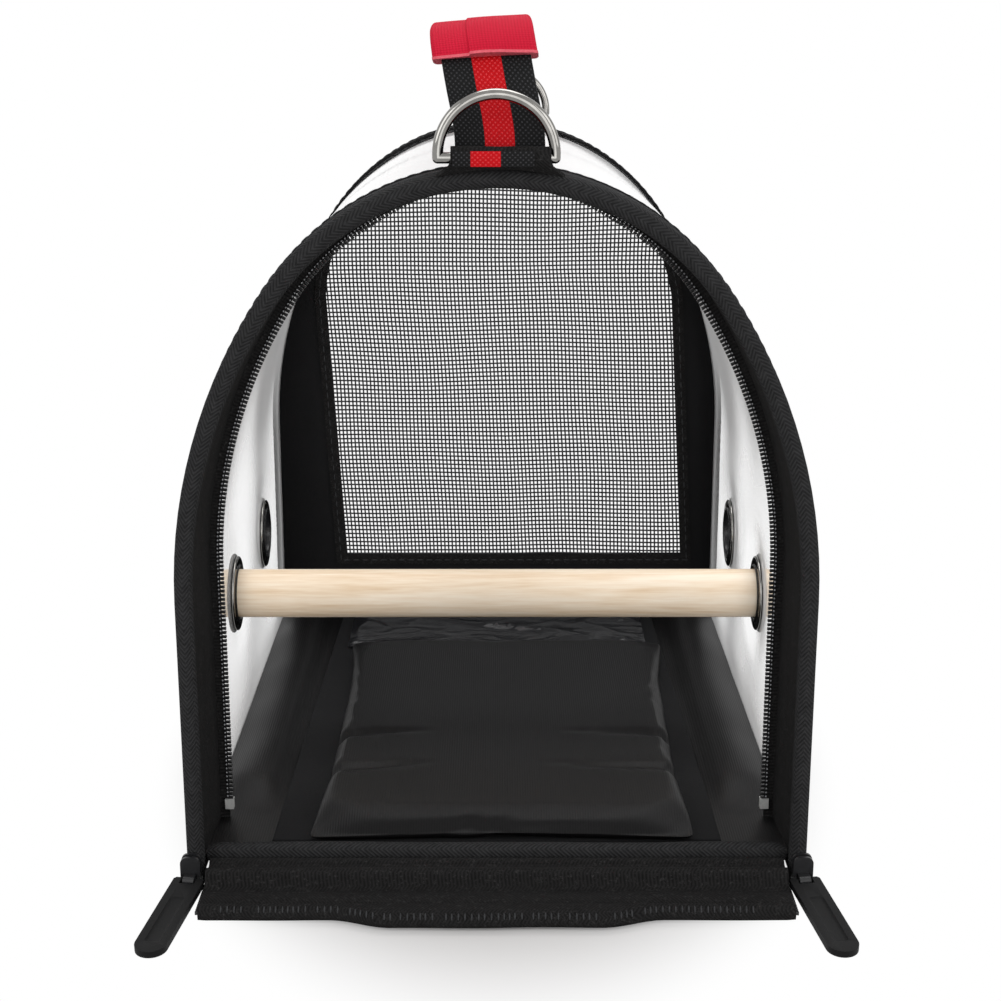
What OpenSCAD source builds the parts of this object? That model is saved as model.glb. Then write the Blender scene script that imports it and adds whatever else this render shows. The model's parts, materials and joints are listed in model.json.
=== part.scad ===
// Bird travel carrier: a soft arched tunnel on a flat base, with clear sides, a mesh rear
// panel, a zip door folded out under the base, a dowel perch and a padded top handle.
// Origin: bottom centre of the tunnel, on the surface it stands on. +Z is up and the
// mouth faces -Y. All sizes are in millimetres.

/* [Body] */
// Length of the tunnel, from mouth edge to rear edge
body_len = 300; // [270:5:380]
// Width across the straight sides
body_w = 220; // [212:2:260]
// Height over the top of the arch
body_h = 251; // [244:1:290]
// Height of the straight sides below the arch
side_h = 105; // [95:1:112]
// Radius of the top of the arch
crown_r = 94; // [86:1:98]
// Radius of the rolled binding on both end edges
binding_r = 3; // [2.6:0.1:3.4]
// Radius of the spring wire hoop inside each rolled binding
hoop_r = 1.4; // [1:0.1:1.8]
// Width of the fabric border strip at each end
border_w = 22; // [14:1:32]
// Thickness of the fabric borders and panels
fabric_t = 0.8; // [0.6:0.1:1]
// Thickness of the clear sheet
cover_t = 0.5; // [0.3:0.1:0.8]
// How far the clear sheet runs under each border
cover_lap = 12; // [6:1:13]

/* [Mouth band] */
// Depth of the inner band behind the mouth edge
band_depth = 36.5; // [24:0.5:44]
// How far the inner band leans in over its depth
band_lean = 1.6; // [1:0.1:6]
// Thickness of the inner band
band_t = 1.2; // [0.8:0.1:1.6]
// Width of the zip tape that shows past the band or the door border
tape_w = 2.2; // [1.4:0.1:4]
// Thickness of the zip tape
tape_t = 0.6; // [0.4:0.1:0.8]
// Radius of the zip coil
coil_r = 1; // [0.7:0.1:1.3]
// Height of the stop at each foot of the zip
stop_h = 4; // [3:0.2:5]

/* [Floor] */
// Radius of the rolled edge that the base stands on
foot_r = 2.6; // [2.4:0.1:3]
// How far the load presses the rolled edge flat underneath
foot_press = 0.2; // [0.1:0.1:0.4]
// Thickness of the sewn bottom
bottom_t = 1.6; // [1:0.1:3]
// Thickness of the stiff base board
board_t = 2; // [1:0.5:4]
// Width of the base board
board_w = 176; // [150:2:190]
// Radius of the base board's corners
board_corner = 12; // [6:1:20]
// Clear distance from each end of the board to the ends of the sewn bottom
board_end_gap = 7; // [4:1:12]
// Width of the floor pad
pad_w = 142; // [110:2:148]
// Length of the floor pad
pad_len = 208; // [160:2:212]
// Thickness of the floor pad
pad_t = 6.2; // [3:0.2:8]
// Radius of the floor pad's corners
pad_corner = 3; // [2:0.5:8]
// Distance from the floor pad back to the loose liner
pad_gap = 2; // [1:0.5:6]
// Distance from the loose liner back to the rear panel
liner_gap = 14.8; // [8:0.2:24]
// Thickness of the loose liner
liner_t = 3.4; // [2:0.2:5]
// Radius of the loose liner's corners
liner_corner = 4; // [2:0.5:8]
// Depth of the sill roll across the mouth
sill_d = 6.6; // [5:0.2:9]
// Height of the sill roll
sill_h = 7.4; // [6:0.2:10]

/* [Rear panel] */
// Width of the fabric round the rear mesh, in from the tunnel's outline
rear_frame_w = 25; // [16:1:36]
// Height of the bottom edge of the rear mesh
rear_mesh_z = 32; // [20:1:60]
// Thickness of the mesh sheets
mesh_t = 0.5; // [0.3:0.1:0.8]

/* [Front door] */
// Length of the hem between its two folds
hem_len = 27; // [24:0.5:34]
// Drop of the hem from its first fold to its second
hem_drop = 3.6; // [3.2:0.1:4.2]
// Height of the first fold, at the sill
hem_fold_z = 7; // [6.8:0.1:7.6]
// How far the first fold stands out past the mouth edge
hem_fold_out = 1.2; // [1:0.1:1.6]
// Radius of the roll at the first fold
hem_roll_r = 2.3; // [1.8:0.1:2.4]
// Thickness of the hem strip
hem_t = 1.6; // [1:0.1:1.8]
// Clearance of the second fold above the floor
turn_lift = 1.4; // [1.2:0.1:1.8]
// Thickness of the door border
door_t = 2.2; // [1.6:0.1:2.4]
// Width of the border round the door mesh
door_frame_w = 18; // [12:1:30]
// Height of the border under the door mesh
door_foot_w = 26; // [16:1:40]
// Clearance between the closed door and the rolled mouth edge
door_gap = 0.4; // [0.3:0.1:1.2]

/* [Perch and eyelets] */
// Diameter of the dowel perch
perch_d = 20; // [12:1:22]
// How far the perch stands out past each side
perch_proud = 4; // [2:1:10]
// Height of the perch eyelets
eyelet_z = 67; // [50:1:75]
// Distance of the perch eyelets behind the mouth edge
perch_y = 126; // [90:1:140]
// Distance from the perch eyelets back to the spare eyelets
spare_step = 90; // [60:1:110]
// Diameter of the hole through an eyelet
eyelet_hole_d = 21; // [20.6:0.1:24]
// Diameter of an eyelet's flange
eyelet_flange_d = 33; // [29:1:38]
// Thickness of an eyelet's flange
eyelet_flange_t = 1.2; // [0.8:0.1:1.8]
// Wall of an eyelet's barrel
eyelet_wall = 0.8; // [0.5:0.1:1.2]
// Diameter of the washer behind an eyelet
washer_d = 31; // [28:1:36]

/* [Handle and rings] */
// Height of the handle's crest over the top of the tunnel
handle_rise = 48; // [44:1:70]
// Width of the handle webbing
webbing_w = 29; // [20:1:32]
// Thickness of the doubled webbing
webbing_t = 3; // [2:0.2:3.6]
// Height of the handle's straight legs over the top of the tunnel
handle_leg = 6; // [5:0.5:9]
// Radius of each bend of the handle
handle_bend_r = 34; // [28:1:38]
// Width of the padded wrap on the handle
wrap_w = 37; // [34:1:46]
// Thickness of the padding on each face of the webbing
wrap_pad = 3; // [2:0.2:5]
// Angle up each bend at which the wrap starts
wrap_angle = 46; // [30:1:60]
// Width over a ring
ring_w = 41; // [38:1:50]
// Height over a ring, from the middle of its bar
ring_h = 21.6; // [21:0.2:30]
// Diameter of the ring wire
ring_wire_d = 3.6; // [3:0.2:4]
// Width of the front ring's sewn tab
front_tab_w = 32; // [24:1:33]
// Width of the rear ring's sewn tab
rear_tab_w = 23; // [18:1:26]
// Side shift of the rear ring along its bar
rear_ring_shift = 5; // [0:0.5:5]
// Thickness of the tab webbing
tab_t = 1.6; // [1:0.1:2]
// How far each ring's bar stands out past its end of the tunnel
ring_out = 2.6; // [2:0.1:3.4]

/* [Zip sliders] */
// Height of a slider
slider_h = 12; // [10:0.5:16]
// Width of a slider
slider_w = 7; // [6:0.5:9]
// Thickness of each slider plate
slider_plate_t = 1.2; // [0.8:0.1:1.6]
// Gap between the slider plates
slider_gap = 1.6; // [1.2:0.1:2.4]
// How far each slider lies outwards from the middle of the rolled edge
slider_out = 1; // [0.4:0.1:1.4]
// Clearance of a slider above the floor
slider_lift = 0.8; // [0.5:0.1:2]
// Height of a pull's pin over the slider's lower edge
pin_rise = 4.2; // [4:0.1:5]
// Radius of a pull's pin
pin_r = 0.9; // [0.6:0.1:1.1]
// Wall of a slider's lug round the pin
lug_wall = 1.1; // [0.8:0.1:1.3]
// Width of a slider's lug
lug_w = 4; // [3:0.2:4.4]
// Length of a pull, from its pin to its far end
pull_len = 45; // [30:1:55]
// Width of a pull
pull_w = 10.5; // [9:0.5:13]
// Thickness of a pull
pull_t = 2.2; // [1.6:0.1:2.6]
// Angle by which each pull lies splayed outwards
pull_splay = 9; // [4:1:12]
// Depth of the sunk face on a pull
pull_sink = 0.5; // [0.3:0.1:0.8]
// Width of the rim beside a pull's sunk face
pull_rim = 2; // [1.5:0.1:2.6]
// Distance from a pull's pin to its sunk face
pull_neck = 11; // [8:0.5:14]
// Distance from a pull's sunk face to its far end
pull_tip = 5; // [3:0.5:8]

/* [Hidden] */
$fn = 96;

fit_gap = 0.1;        // between pieces that are sewn or laid against each other
running_gap = 0.08;   // round a pin or bar that turns
free_gap = 0.4;       // between pieces that move past each other
floor_gap = 0.8;      // under the open door
hoop_lift = 1;        // from the floor to each hoop's feet
fork_gap = 0.7;       // between a slider's lug and each side of its pull's fork
cut = 1;              // how far a cutter runs past a face
long_arc_fn = 1440;   // smoothness of the handle's long flat arc
seam_turn = 0.01;     // angle left open where a swept side meets the swept crown

half_w = body_w / 2;
front_y = -body_len / 2;
rear_y = body_len / 2;
crown_z = body_h - crown_r;
side_r = (pow(half_w, 2) + pow(crown_z - side_h, 2) - pow(crown_r, 2)) / (2 * (half_w - crown_r));
side_turn = atan2(crown_z - side_h, side_r - half_w);

foot_z = foot_r - foot_press;             // middle of the rolled base edge
foot_top = foot_z + foot_r + fit_gap;     // top of the rolled base edge
bottom_top = foot_top + bottom_t;
board_top = bottom_top + fit_gap + board_t;
border_end = binding_r + fit_gap;         // from an end edge to its border strip
cover_inset = fabric_t + fit_gap;         // the clear sheet lies just inside the borders
cover_inner = cover_inset + cover_t;

hem_fold_y = front_y - hem_fold_out;
sill_y = hem_fold_y + hem_roll_r + free_gap;
bottom_front_y = sill_y + sill_d;
panel_y = rear_y - binding_r - fit_gap - 2 * fabric_t;   // front face of the rear panel
bottom_rear_y = panel_y - fit_gap;

band_start = binding_r + band_t / 2;      // inset of the band's front edge
band_front_y = front_y + binding_r + fit_gap + band_t / 2;
band_rear_y = band_front_y + band_depth;
tape_inset = band_start + band_lean + band_t / 2;
coil_inset = tape_inset + tape_w + coil_r;

hem_tilt = asin(hem_drop / hem_len);
turn_y = hem_fold_y - hem_len * cos(hem_tilt);   // second fold, door open
turn_z = hem_fold_z - hem_drop;
closed_turn_z = hem_fold_z + hem_len;            // second fold, door closed
turn_r = turn_z - turn_lift;                     // roll at the second fold
door_sink = turn_z - floor_gap - door_t / 2;     // door's mid-plane below the second fold
door_y = hem_fold_y + door_sink;                 // mid-plane of the closed door
door_inset = 2 * binding_r + door_gap;
door_border_inset = door_inset + 2 * coil_r + tape_w;

ring_y = front_y - ring_out;                     // bar of the front ring
ring_r = ring_w / 2 - ring_wire_d / 2;
tab_r = ring_wire_d / 2 + running_gap + tab_t;
ring_z = body_h + fit_gap + tab_r;
strap_y = ring_y + tab_r + fit_gap;              // outer face of the handle's front leg
handle_half = -strap_y;
handle_top = body_h + handle_rise - wrap_pad;
handle_spring = body_h + handle_leg;
handle_in = handle_half - handle_bend_r;
handle_climb = handle_top - handle_spring;
handle_top_r = (pow(handle_in, 2) + pow(handle_climb, 2) - pow(handle_bend_r, 2))
               / (2 * (handle_climb - handle_bend_r));
handle_turn = atan2(handle_in, handle_top_r - handle_climb);

slider_x = half_w - binding_r + slider_out;
hem_w = 2 * (slider_x - pull_w / 2 - 2 * free_gap);   // the hem lies between the pulls
slider_back_y = front_y - binding_r - free_gap;
plate_step = slider_plate_t + slider_gap;
pin_z = slider_lift + pin_rise;
lug_r = pin_r + lug_wall;
pin_y = slider_back_y - plate_step - slider_plate_t - lug_r - free_gap;
pull_tilt = asin((pin_z - pull_t / 2 - free_gap) / (pull_len - pull_w / 4));

// ---- shared shapes ----

// Cross-section of the tunnel, drawn in X and Z, shrunk evenly by inset
module arch_area(inset) {
    reach = side_r - inset;
    translate([inset - half_w, 0]) square([body_w - 2 * inset, side_h]);
    intersection() {
        translate([half_w - side_r, side_h]) circle(reach);
        translate([side_r - half_w, side_h]) circle(reach);
        translate([-half_w, side_h]) square([body_w, reach * sin(side_turn)]);
    }
    translate([0, crown_z]) circle(crown_r - inset);
}

// Flat arched plate between two places along Y
module arch_plate(inset, y_from, y_to) {
    translate([0, y_to, 0]) rotate([90, 0, 0]) linear_extrude(y_to - y_from) arch_area(inset);
}

// Arched skin of even thickness between two places along Y, open below from_z
module arch_skin(inset, thick, y_from, y_to, from_z) {
    difference() {
        arch_plate(inset, y_from, y_to);
        arch_plate(inset + thick, y_from - cut, y_to + cut);
        translate([-body_w, y_from - cut, -cut]) cube([2 * body_w, y_to - y_from + 2 * cut, from_z + cut]);
    }
}

// Runs a profile along the arch. The profile's x is its inset and its y is its place on Y
module arch_sweep(from_z) {
    for (side = [0, 1]) mirror([side, 0, 0]) {
        translate([0, 0, from_z]) linear_extrude(side_h - from_z)
            translate([half_w, 0]) mirror([1, 0]) children();
        translate([half_w - side_r, 0, side_h]) rotate([90, 0, 0])
            rotate_extrude(angle = side_turn - seam_turn)
                translate([side_r, 0]) rotate(180) children();
    }
    translate([0, 0, crown_z]) rotate([90, 0, 0]) rotate([0, 0, side_turn])
        rotate_extrude(angle = 180 - 2 * side_turn)
            translate([crown_r, 0]) rotate(180) children();
}

// Rolled edge binding with a channel for its hoop
module binding_profile(y) {
    difference() {
        translate([binding_r, y]) circle(binding_r);
        translate([binding_r, y]) circle(hoop_r + fit_gap);
    }
}

// Sheet with rounded edges, flat on Z
module soft_slab(width, length, thick, corner) {
    linear_extrude(thick) rounded_area(width, length, corner);
}

// Rectangle with four round corners, centred
module rounded_area(width, length, corner) {
    square([width - 2 * corner, length], center = true);
    square([width, length - 2 * corner], center = true);
    for (x = [-1, 1], y = [-1, 1])
        translate([x * (width / 2 - corner), y * (length / 2 - corner)]) circle(corner);
}

// Places what is drawn for the closed door where the open door lies
module door_opened() {
    translate([0, turn_y, turn_z]) rotate([-90, 0, 0])
        translate([0, -hem_fold_y, -closed_turn_z]) children();
}

// Runs a profile over the handle's two bends and its top. The profile's x is its depth
// under the handle's outer face and its y is its place across. The bends start at from_turn
module handle_sweep(from_turn) {
    for (side = [0, 1]) mirror([0, side, 0])
        translate([0, handle_in, handle_spring]) rotate([90, 0, 90]) rotate([0, 0, from_turn])
            rotate_extrude(angle = 90 - handle_turn - from_turn - seam_turn)
                translate([handle_bend_r, 0]) mirror([1, 0]) children();
    translate([0, 0, handle_top - handle_top_r]) rotate([90, 0, 90]) rotate([0, 0, 90 - handle_turn])
        rotate_extrude(angle = 2 * handle_turn, $fn = long_arc_fn)
            translate([handle_top_r, 0]) mirror([1, 0]) children();
}

// Flat strip profile for the handle, grown on every side
module strip_profile(width, grow) {
    translate([-grow, -width / 2 - grow]) square([webbing_t + 2 * grow, width + 2 * grow]);
}

// Extrudes a shape drawn in Y and Z across X, centred
module across(width) {
    translate([-width / 2, 0, 0]) rotate([90, 0, 90]) linear_extrude(width) children();
}

// ---- base ----

module bottom_panel() {
    width = body_w - 2 * (cover_inner + fit_gap);
    color("#1b1b1d") translate([-width / 2, bottom_front_y + fit_gap, foot_top])
        cube([width, bottom_rear_y - bottom_front_y - fit_gap, bottom_t]);
}

module base_binding() {
    front = front_y + binding_r + fit_gap;
    back = rear_y - binding_r - fit_gap - foot_r;
    side_x = half_w - foot_r;
    color("#161617") difference() {
        union() {
            for (side = [-1, 1]) translate([side * side_x, front, foot_z]) {
                rotate([-90, 0, 0]) cylinder(r = foot_r, h = back - front);
                translate([0, back - front, 0]) sphere(foot_r);
            }
            translate([-side_x, back, foot_z]) rotate([0, 90, 0])
                cylinder(r = foot_r, h = 2 * side_x);
        }
        translate([-body_w, front - cut, -2 * foot_r])
            cube([2 * body_w, body_len, 2 * foot_r]);
    }
}

module base_board() {
    length = bottom_rear_y - bottom_front_y - 2 * board_end_gap;
    color("#232325") translate([0, (bottom_rear_y + bottom_front_y) / 2, bottom_top + fit_gap])
        soft_slab(board_w, length, board_t, board_corner);
}

module floor_liner() {
    front = bottom_front_y + free_gap + pad_len + pad_gap;
    length = panel_y - liner_gap - front;
    color("#2a2a2c") translate([0, front + length / 2, board_top + fit_gap])
        soft_slab(pad_w, length, liner_t, liner_corner);
}

module front_sill() {
    width = body_w - 4 * binding_r - 2 * free_gap;
    round = min(sill_d, sill_h) / 2 - fit_gap;
    color("#1d1d1f") translate([0, sill_y + sill_d / 2, foot_top + sill_h / 2])
        across(width) rounded_area(sill_d, sill_h, round);
}

// ---- tunnel ----

module mouth_binding() {
    color("#171718") arch_sweep(0) binding_profile(front_y);
}

module rear_binding() {
    color("#171718") arch_sweep(0) binding_profile(rear_y);
}

module hoop(y) {
    color("#b9bcc0") arch_sweep(hoop_lift) translate([binding_r, y]) circle(hoop_r);
}

module front_border() {
    color("#1b1b1d") arch_skin(0, fabric_t, front_y + border_end,
                               front_y + border_end + border_w, foot_top);
}

module rear_border() {
    color("#1b1b1d") arch_skin(0, fabric_t, rear_y - border_end - border_w,
                               rear_y - border_end, foot_top);
}

module inner_band() {
    color("#161617") arch_sweep(bottom_top + fit_gap) polygon([
        [band_start - band_t / 2, band_front_y],
        [band_start + band_t / 2, band_front_y],
        [band_start + band_lean + band_t / 2, band_rear_y],
        [band_start + band_lean - band_t / 2, band_rear_y]]);
}

module zipper_tape() {
    color("#101011") arch_skin(tape_inset + fit_gap, tape_w, band_rear_y - tape_t, band_rear_y,
                               bottom_top + fit_gap);
}

module zipper_coil() {
    color("#8d8f93") arch_sweep(bottom_top + sill_h)
        translate([coil_inset + 2 * fit_gap, band_rear_y - tape_t / 2]) circle(coil_r);
}

module zipper_stops() {
    size = [3.2 * coil_r, 2.6 * coil_r, stop_h];
    slot = [size[0], tape_t + 2 * fit_gap, 2 * stop_h];
    edge = tape_inset + tape_w + 2 * fit_gap;     // inset of the tape's edge, with its gap
    color("#c8cace") for (side = [0, 1]) mirror([side, 0, 0])
        translate([0, band_rear_y - tape_t / 2, bottom_top + sill_h - stop_h / 2 - fit_gap])
            difference() {
                translate([half_w - coil_inset - 2 * fit_gap, 0, 0]) cube(size, center = true);
                translate([half_w - edge + size[0] / 2, 0, 0]) cube(slot, center = true);
            }
}

module clear_cover() {
    reach = cover_lap - border_end - border_w;
    color([0.85, 0.9, 0.92, 0.3]) difference() {
        arch_skin(cover_inset, cover_t, front_y - reach, rear_y + reach, foot_top);
        for (y = eyelet_rows()) translate([-half_w - cut, y, eyelet_z]) rotate([0, 90, 0])
            cylinder(r = eyelet_hole_d / 2 + eyelet_wall + fit_gap, h = body_w + 2 * cut);
    }
}

module rear_panel() {
    color("#19191b") intersection() {
        difference() {
            arch_plate(cover_inset, panel_y, panel_y + 2 * fabric_t);
            mesh_window(rear_frame_w, panel_y - cut, panel_y + 2 * fabric_t + cut, rear_mesh_z);
        }
        translate([-half_w, panel_y, foot_top]) cube([body_w, 2 * fabric_t, body_h]);
    }
}

module rear_mesh() {
    mid = panel_y + fabric_t;
    color("#4a4b4f") mesh_window(rear_frame_w + fit_gap, mid - mesh_t / 2, mid + mesh_t / 2,
                                 rear_mesh_z + fit_gap);
}

// Arched window above a straight lower edge
module mesh_window(inset, y_from, y_to, low_z) {
    intersection() {
        arch_plate(inset, y_from, y_to);
        translate([-half_w, y_from, low_z]) cube([body_w, y_to - y_from, body_h]);
    }
}

// ---- eyelets and perch ----

function eyelet_rows() = [front_y + perch_y, front_y + perch_y + spare_step];

// Flanged eyelet through each side at one place along Y
module eyelet_pair(y) {
    hole_r = eyelet_hole_d / 2;
    outer = half_w - cover_inset + fit_gap;       // inner face of the outer flange
    inner = half_w - cover_inner - eyelet_flange_t - 2 * fit_gap;
    color("#2a2b2d") for (side = [0, 1]) mirror([side, 0, 0]) translate([0, y, eyelet_z])
        rotate([0, 90, 0]) difference() {
            union() {
                translate([0, 0, outer]) cylinder(d = eyelet_flange_d, h = eyelet_flange_t);
                translate([0, 0, inner]) cylinder(r = hole_r + eyelet_wall, h = outer - inner + cut);
            }
            translate([0, 0, inner - cut]) cylinder(r = hole_r, h = body_w);
        }
}

module eyelet_washers() {
    hole_r = eyelet_hole_d / 2 + eyelet_wall + fit_gap;
    inner = half_w - cover_inner - eyelet_flange_t - fit_gap;
    color("#b4b7bb") for (y = eyelet_rows(), side = [0, 1]) mirror([side, 0, 0])
        translate([inner, y, eyelet_z]) rotate([0, 90, 0]) difference() {
            cylinder(d = washer_d, h = eyelet_flange_t);
            translate([0, 0, -cut]) cylinder(r = hole_r, h = eyelet_flange_t + 2 * cut);
        }
}

module perch() {
    length = body_w + 2 * perch_proud;
    round = 1.2;
    color("#dcc3a0") translate([-length / 2, eyelet_rows()[0], eyelet_z]) rotate([0, 90, 0])
        rotate_extrude() {
            square([perch_d / 2 - round, length]);
            translate([0, round]) square([perch_d / 2, length - 2 * round]);
            for (end = [round, length - round]) translate([perch_d / 2 - round, end]) circle(round);
        }
}

// ---- handle and rings ----

module handle_strap() {
    leg = handle_spring - body_h - fit_gap;
    color("#1c1c1e") {
        handle_sweep(0) strip_profile(webbing_w, 0);
        for (side = [0, 1]) mirror([0, side, 0])
            translate([-webbing_w / 2, handle_half - webbing_t, body_h + fit_gap])
                cube([webbing_w, webbing_t, leg]);
    }
}

module handle_wrap() {
    color("#c01722") handle_sweep(wrap_angle) difference() {
        translate([-wrap_pad, -wrap_w / 2]) square([webbing_t + 2 * wrap_pad, wrap_w]);
        strip_profile(webbing_w, fit_gap);
    }
}

// Sewn tab that wraps a ring's bar, with its foot on the top of the tunnel
module ring_tab(width) {
    bar_r = ring_wire_d / 2 + running_gap;
    color("#1a1a1c") difference() {
        union() {
            translate([-width / 2, ring_y, ring_z]) rotate([0, 90, 0])
                cylinder(r = tab_r, h = width);
            translate([-width / 2, ring_y, body_h + fit_gap])
                cube([width, strap_y - ring_y - fit_gap, tab_t]);
        }
        translate([-width, ring_y, ring_z]) rotate([0, 90, 0]) cylinder(r = bar_r, h = 2 * width);
    }
}

module d_ring() {
    straight = ring_h - ring_w / 2;
    wire_r = ring_wire_d / 2;
    color("#c9cbce") translate([0, ring_y, ring_z]) {
        translate([0, 0, straight]) rotate([90, 0, 0]) rotate_extrude(angle = 180)
            translate([ring_r, 0]) circle(wire_r);
        translate([-ring_r, 0, 0]) rotate([0, 90, 0]) cylinder(r = wire_r, h = 2 * ring_r);
        for (side = [-1, 1]) translate([side * ring_r, 0, 0]) {
            cylinder(r = wire_r, h = straight);
            sphere(wire_r);
        }
    }
}

// ---- floor pad ----

module floor_pad() {
    color("#1f1f22") translate([0, bottom_front_y + free_gap + pad_len / 2, board_top + free_gap])
        soft_slab(pad_w, pad_len, pad_t, pad_corner);
}

// ---- front door ----

// Hem strip that stands up over the sill when the door is closed
module door_hem() {
    end_gap = turn_r + free_gap;
    color("#1a1a1c") {
        translate([-hem_w / 2, hem_fold_y, hem_fold_z]) rotate([0, 90, 0])
            cylinder(r = hem_roll_r, h = hem_w);
        translate([0, hem_fold_y, hem_fold_z]) rotate([hem_tilt, 0, 0])
            translate([-hem_w / 2, end_gap - hem_len, -hem_t / 8])
                cube([hem_w, hem_len - end_gap, hem_t]);
    }
}

module door_border() {
    low_z = closed_turn_z;
    front = door_y - door_t / 2;
    width = body_w - 2 * door_border_inset;
    color("#1b1b1d") {
        door_opened() difference() {
            intersection() {
                arch_plate(door_border_inset, front, front + door_t);
                translate([-half_w, front, low_z]) cube([body_w, door_t, body_h]);
            }
            mesh_window(door_border_inset + door_frame_w, front - cut, front + door_t + cut,
                        low_z + door_foot_w);
        }
        translate([-width / 2, turn_y, turn_z]) rotate([0, 90, 0]) cylinder(r = turn_r, h = width);
    }
}

module door_mesh() {
    color("#4a4b4f") door_opened()
        mesh_window(door_border_inset + door_frame_w + fit_gap, door_y - mesh_t / 2,
                    door_y + mesh_t / 2, closed_turn_z + door_foot_w + fit_gap);
}

module door_tape() {
    color("#101011") door_opened()
        arch_skin(door_inset + 2 * coil_r + fit_gap, tape_w - 2 * fit_gap,
                  door_y - tape_t / 2, door_y + tape_t / 2, closed_turn_z);
}

module door_coil() {
    color("#8d8f93") door_opened() arch_sweep(closed_turn_z)
        translate([door_inset + coil_r, door_y]) circle(coil_r - fit_gap / 2);
}

// ---- zip sliders ----

// Slider on the right side: two plates on a wedge, with a lug for its pull
module right_slider() {
    plate = [slider_w, slider_plate_t, slider_h];
    color("#1a1a1b") translate([slider_x, 0, slider_lift]) {
        for (step = [1, 0]) translate([0, slider_back_y - step * plate_step, slider_h / 2])
            rotate([90, 0, 0]) linear_extrude(slider_plate_t)
                rounded_area(slider_w, slider_h, slider_w / 3);
        translate([0, slider_back_y - plate_step, slider_h - slider_w / 2]) rotate([-90, 0, 0])
            cylinder(r = slider_w / 6, h = plate_step);
        difference() {
            union() {
                translate([0, pin_y, pin_rise]) rotate([0, 90, pull_splay])
                    cylinder(r = lug_r, h = lug_w, center = true);
                translate([-lug_w / 2, pin_y, pin_rise - lug_r])
                    cube([lug_w, slider_back_y - plate_step - slider_plate_t - pin_y, 2 * lug_r]);
            }
            translate([0, pin_y, pin_rise]) rotate([0, 90, pull_splay])
                cylinder(r = pin_r + running_gap, h = 3 * lug_w, center = true);
        }
    }
}

// Pull on the right side: fork with a pin, flat tongue with a sunk bare face
module right_pull() {
    notch_w = lug_w + 2 * fork_gap;
    notch_len = lug_r + 3 * free_gap;
    end_r = pull_w / 2;
    face_w = pull_w - 2 * pull_rim;
    face_len = pull_len - pull_neck - pull_tip;
    color("#19191a") translate([slider_x, pin_y, pin_z])
        rotate([0, 0, pull_splay]) rotate([pull_tilt, 0, 0]) {
            difference() {
                translate([0, 0, -pull_t / 2]) linear_extrude(pull_t) {
                    translate([-end_r, end_r - pull_len]) square([pull_w, pull_len - end_r]);
                    translate([0, end_r - pull_len]) circle(end_r);
                }
                translate([-notch_w / 2, -notch_len, -pull_t])
                    cube([notch_w, 2 * notch_len, 2 * pull_t]);
                translate([0, -pull_neck - face_len / 2, pull_t / 2 - pull_sink])
                    linear_extrude(pull_t) rounded_area(face_w, face_len, face_w / 3);
            }
            rotate([0, 90, 0]) cylinder(r = pin_r, h = pull_w, center = true);
        }
}

module left_slider() { mirror([1, 0, 0]) right_slider(); }
module left_pull() { mirror([1, 0, 0]) right_pull(); }

// ---- what is drawn ----

bottom_panel();
base_binding();
base_board();
floor_liner();
front_sill();
mouth_binding();
rear_binding();
hoop(front_y);  // front_hoop
hoop(rear_y);  // rear_hoop
front_border();
rear_border();
inner_band();
zipper_tape();
zipper_coil();
zipper_stops();
clear_cover();
rear_panel();
rear_mesh();
eyelet_pair(eyelet_rows()[0]);  // perch_eyelets
eyelet_pair(eyelet_rows()[1]);  // spare_eyelets
eyelet_washers();
ring_tab(front_tab_w);  // front_tab
mirror([0, 1, 0]) ring_tab(rear_tab_w);  // rear_tab
handle_strap();
handle_wrap();
floor_pad();
perch();
door_hem();
door_border();
door_mesh();
door_tape();
door_coil();
left_slider();
right_slider();
left_pull();
right_pull();
d_ring();  // front_d_ring
translate([rear_ring_shift, 0, 0]) mirror([0, 1, 0]) d_ring();  // rear_d_ring
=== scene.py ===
import json
import math
import random

import bpy
from mathutils import Matrix, Vector, noise


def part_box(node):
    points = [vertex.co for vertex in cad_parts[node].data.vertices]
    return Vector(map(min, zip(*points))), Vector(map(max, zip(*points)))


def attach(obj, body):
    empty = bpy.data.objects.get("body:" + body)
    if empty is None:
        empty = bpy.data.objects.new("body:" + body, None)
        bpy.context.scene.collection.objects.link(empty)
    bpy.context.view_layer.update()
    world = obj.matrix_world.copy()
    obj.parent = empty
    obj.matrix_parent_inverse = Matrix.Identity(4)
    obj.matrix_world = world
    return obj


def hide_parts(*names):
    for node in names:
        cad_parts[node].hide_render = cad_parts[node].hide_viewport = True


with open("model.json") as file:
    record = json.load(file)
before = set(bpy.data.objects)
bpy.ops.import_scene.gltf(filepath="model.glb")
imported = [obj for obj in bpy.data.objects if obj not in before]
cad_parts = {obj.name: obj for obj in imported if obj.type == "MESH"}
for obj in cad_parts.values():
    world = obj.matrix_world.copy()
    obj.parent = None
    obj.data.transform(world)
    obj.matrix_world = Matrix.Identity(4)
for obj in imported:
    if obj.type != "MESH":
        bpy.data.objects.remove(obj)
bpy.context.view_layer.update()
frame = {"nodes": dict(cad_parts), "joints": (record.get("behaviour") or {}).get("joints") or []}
print("stage: frame loaded")

mm = 0.001

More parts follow.
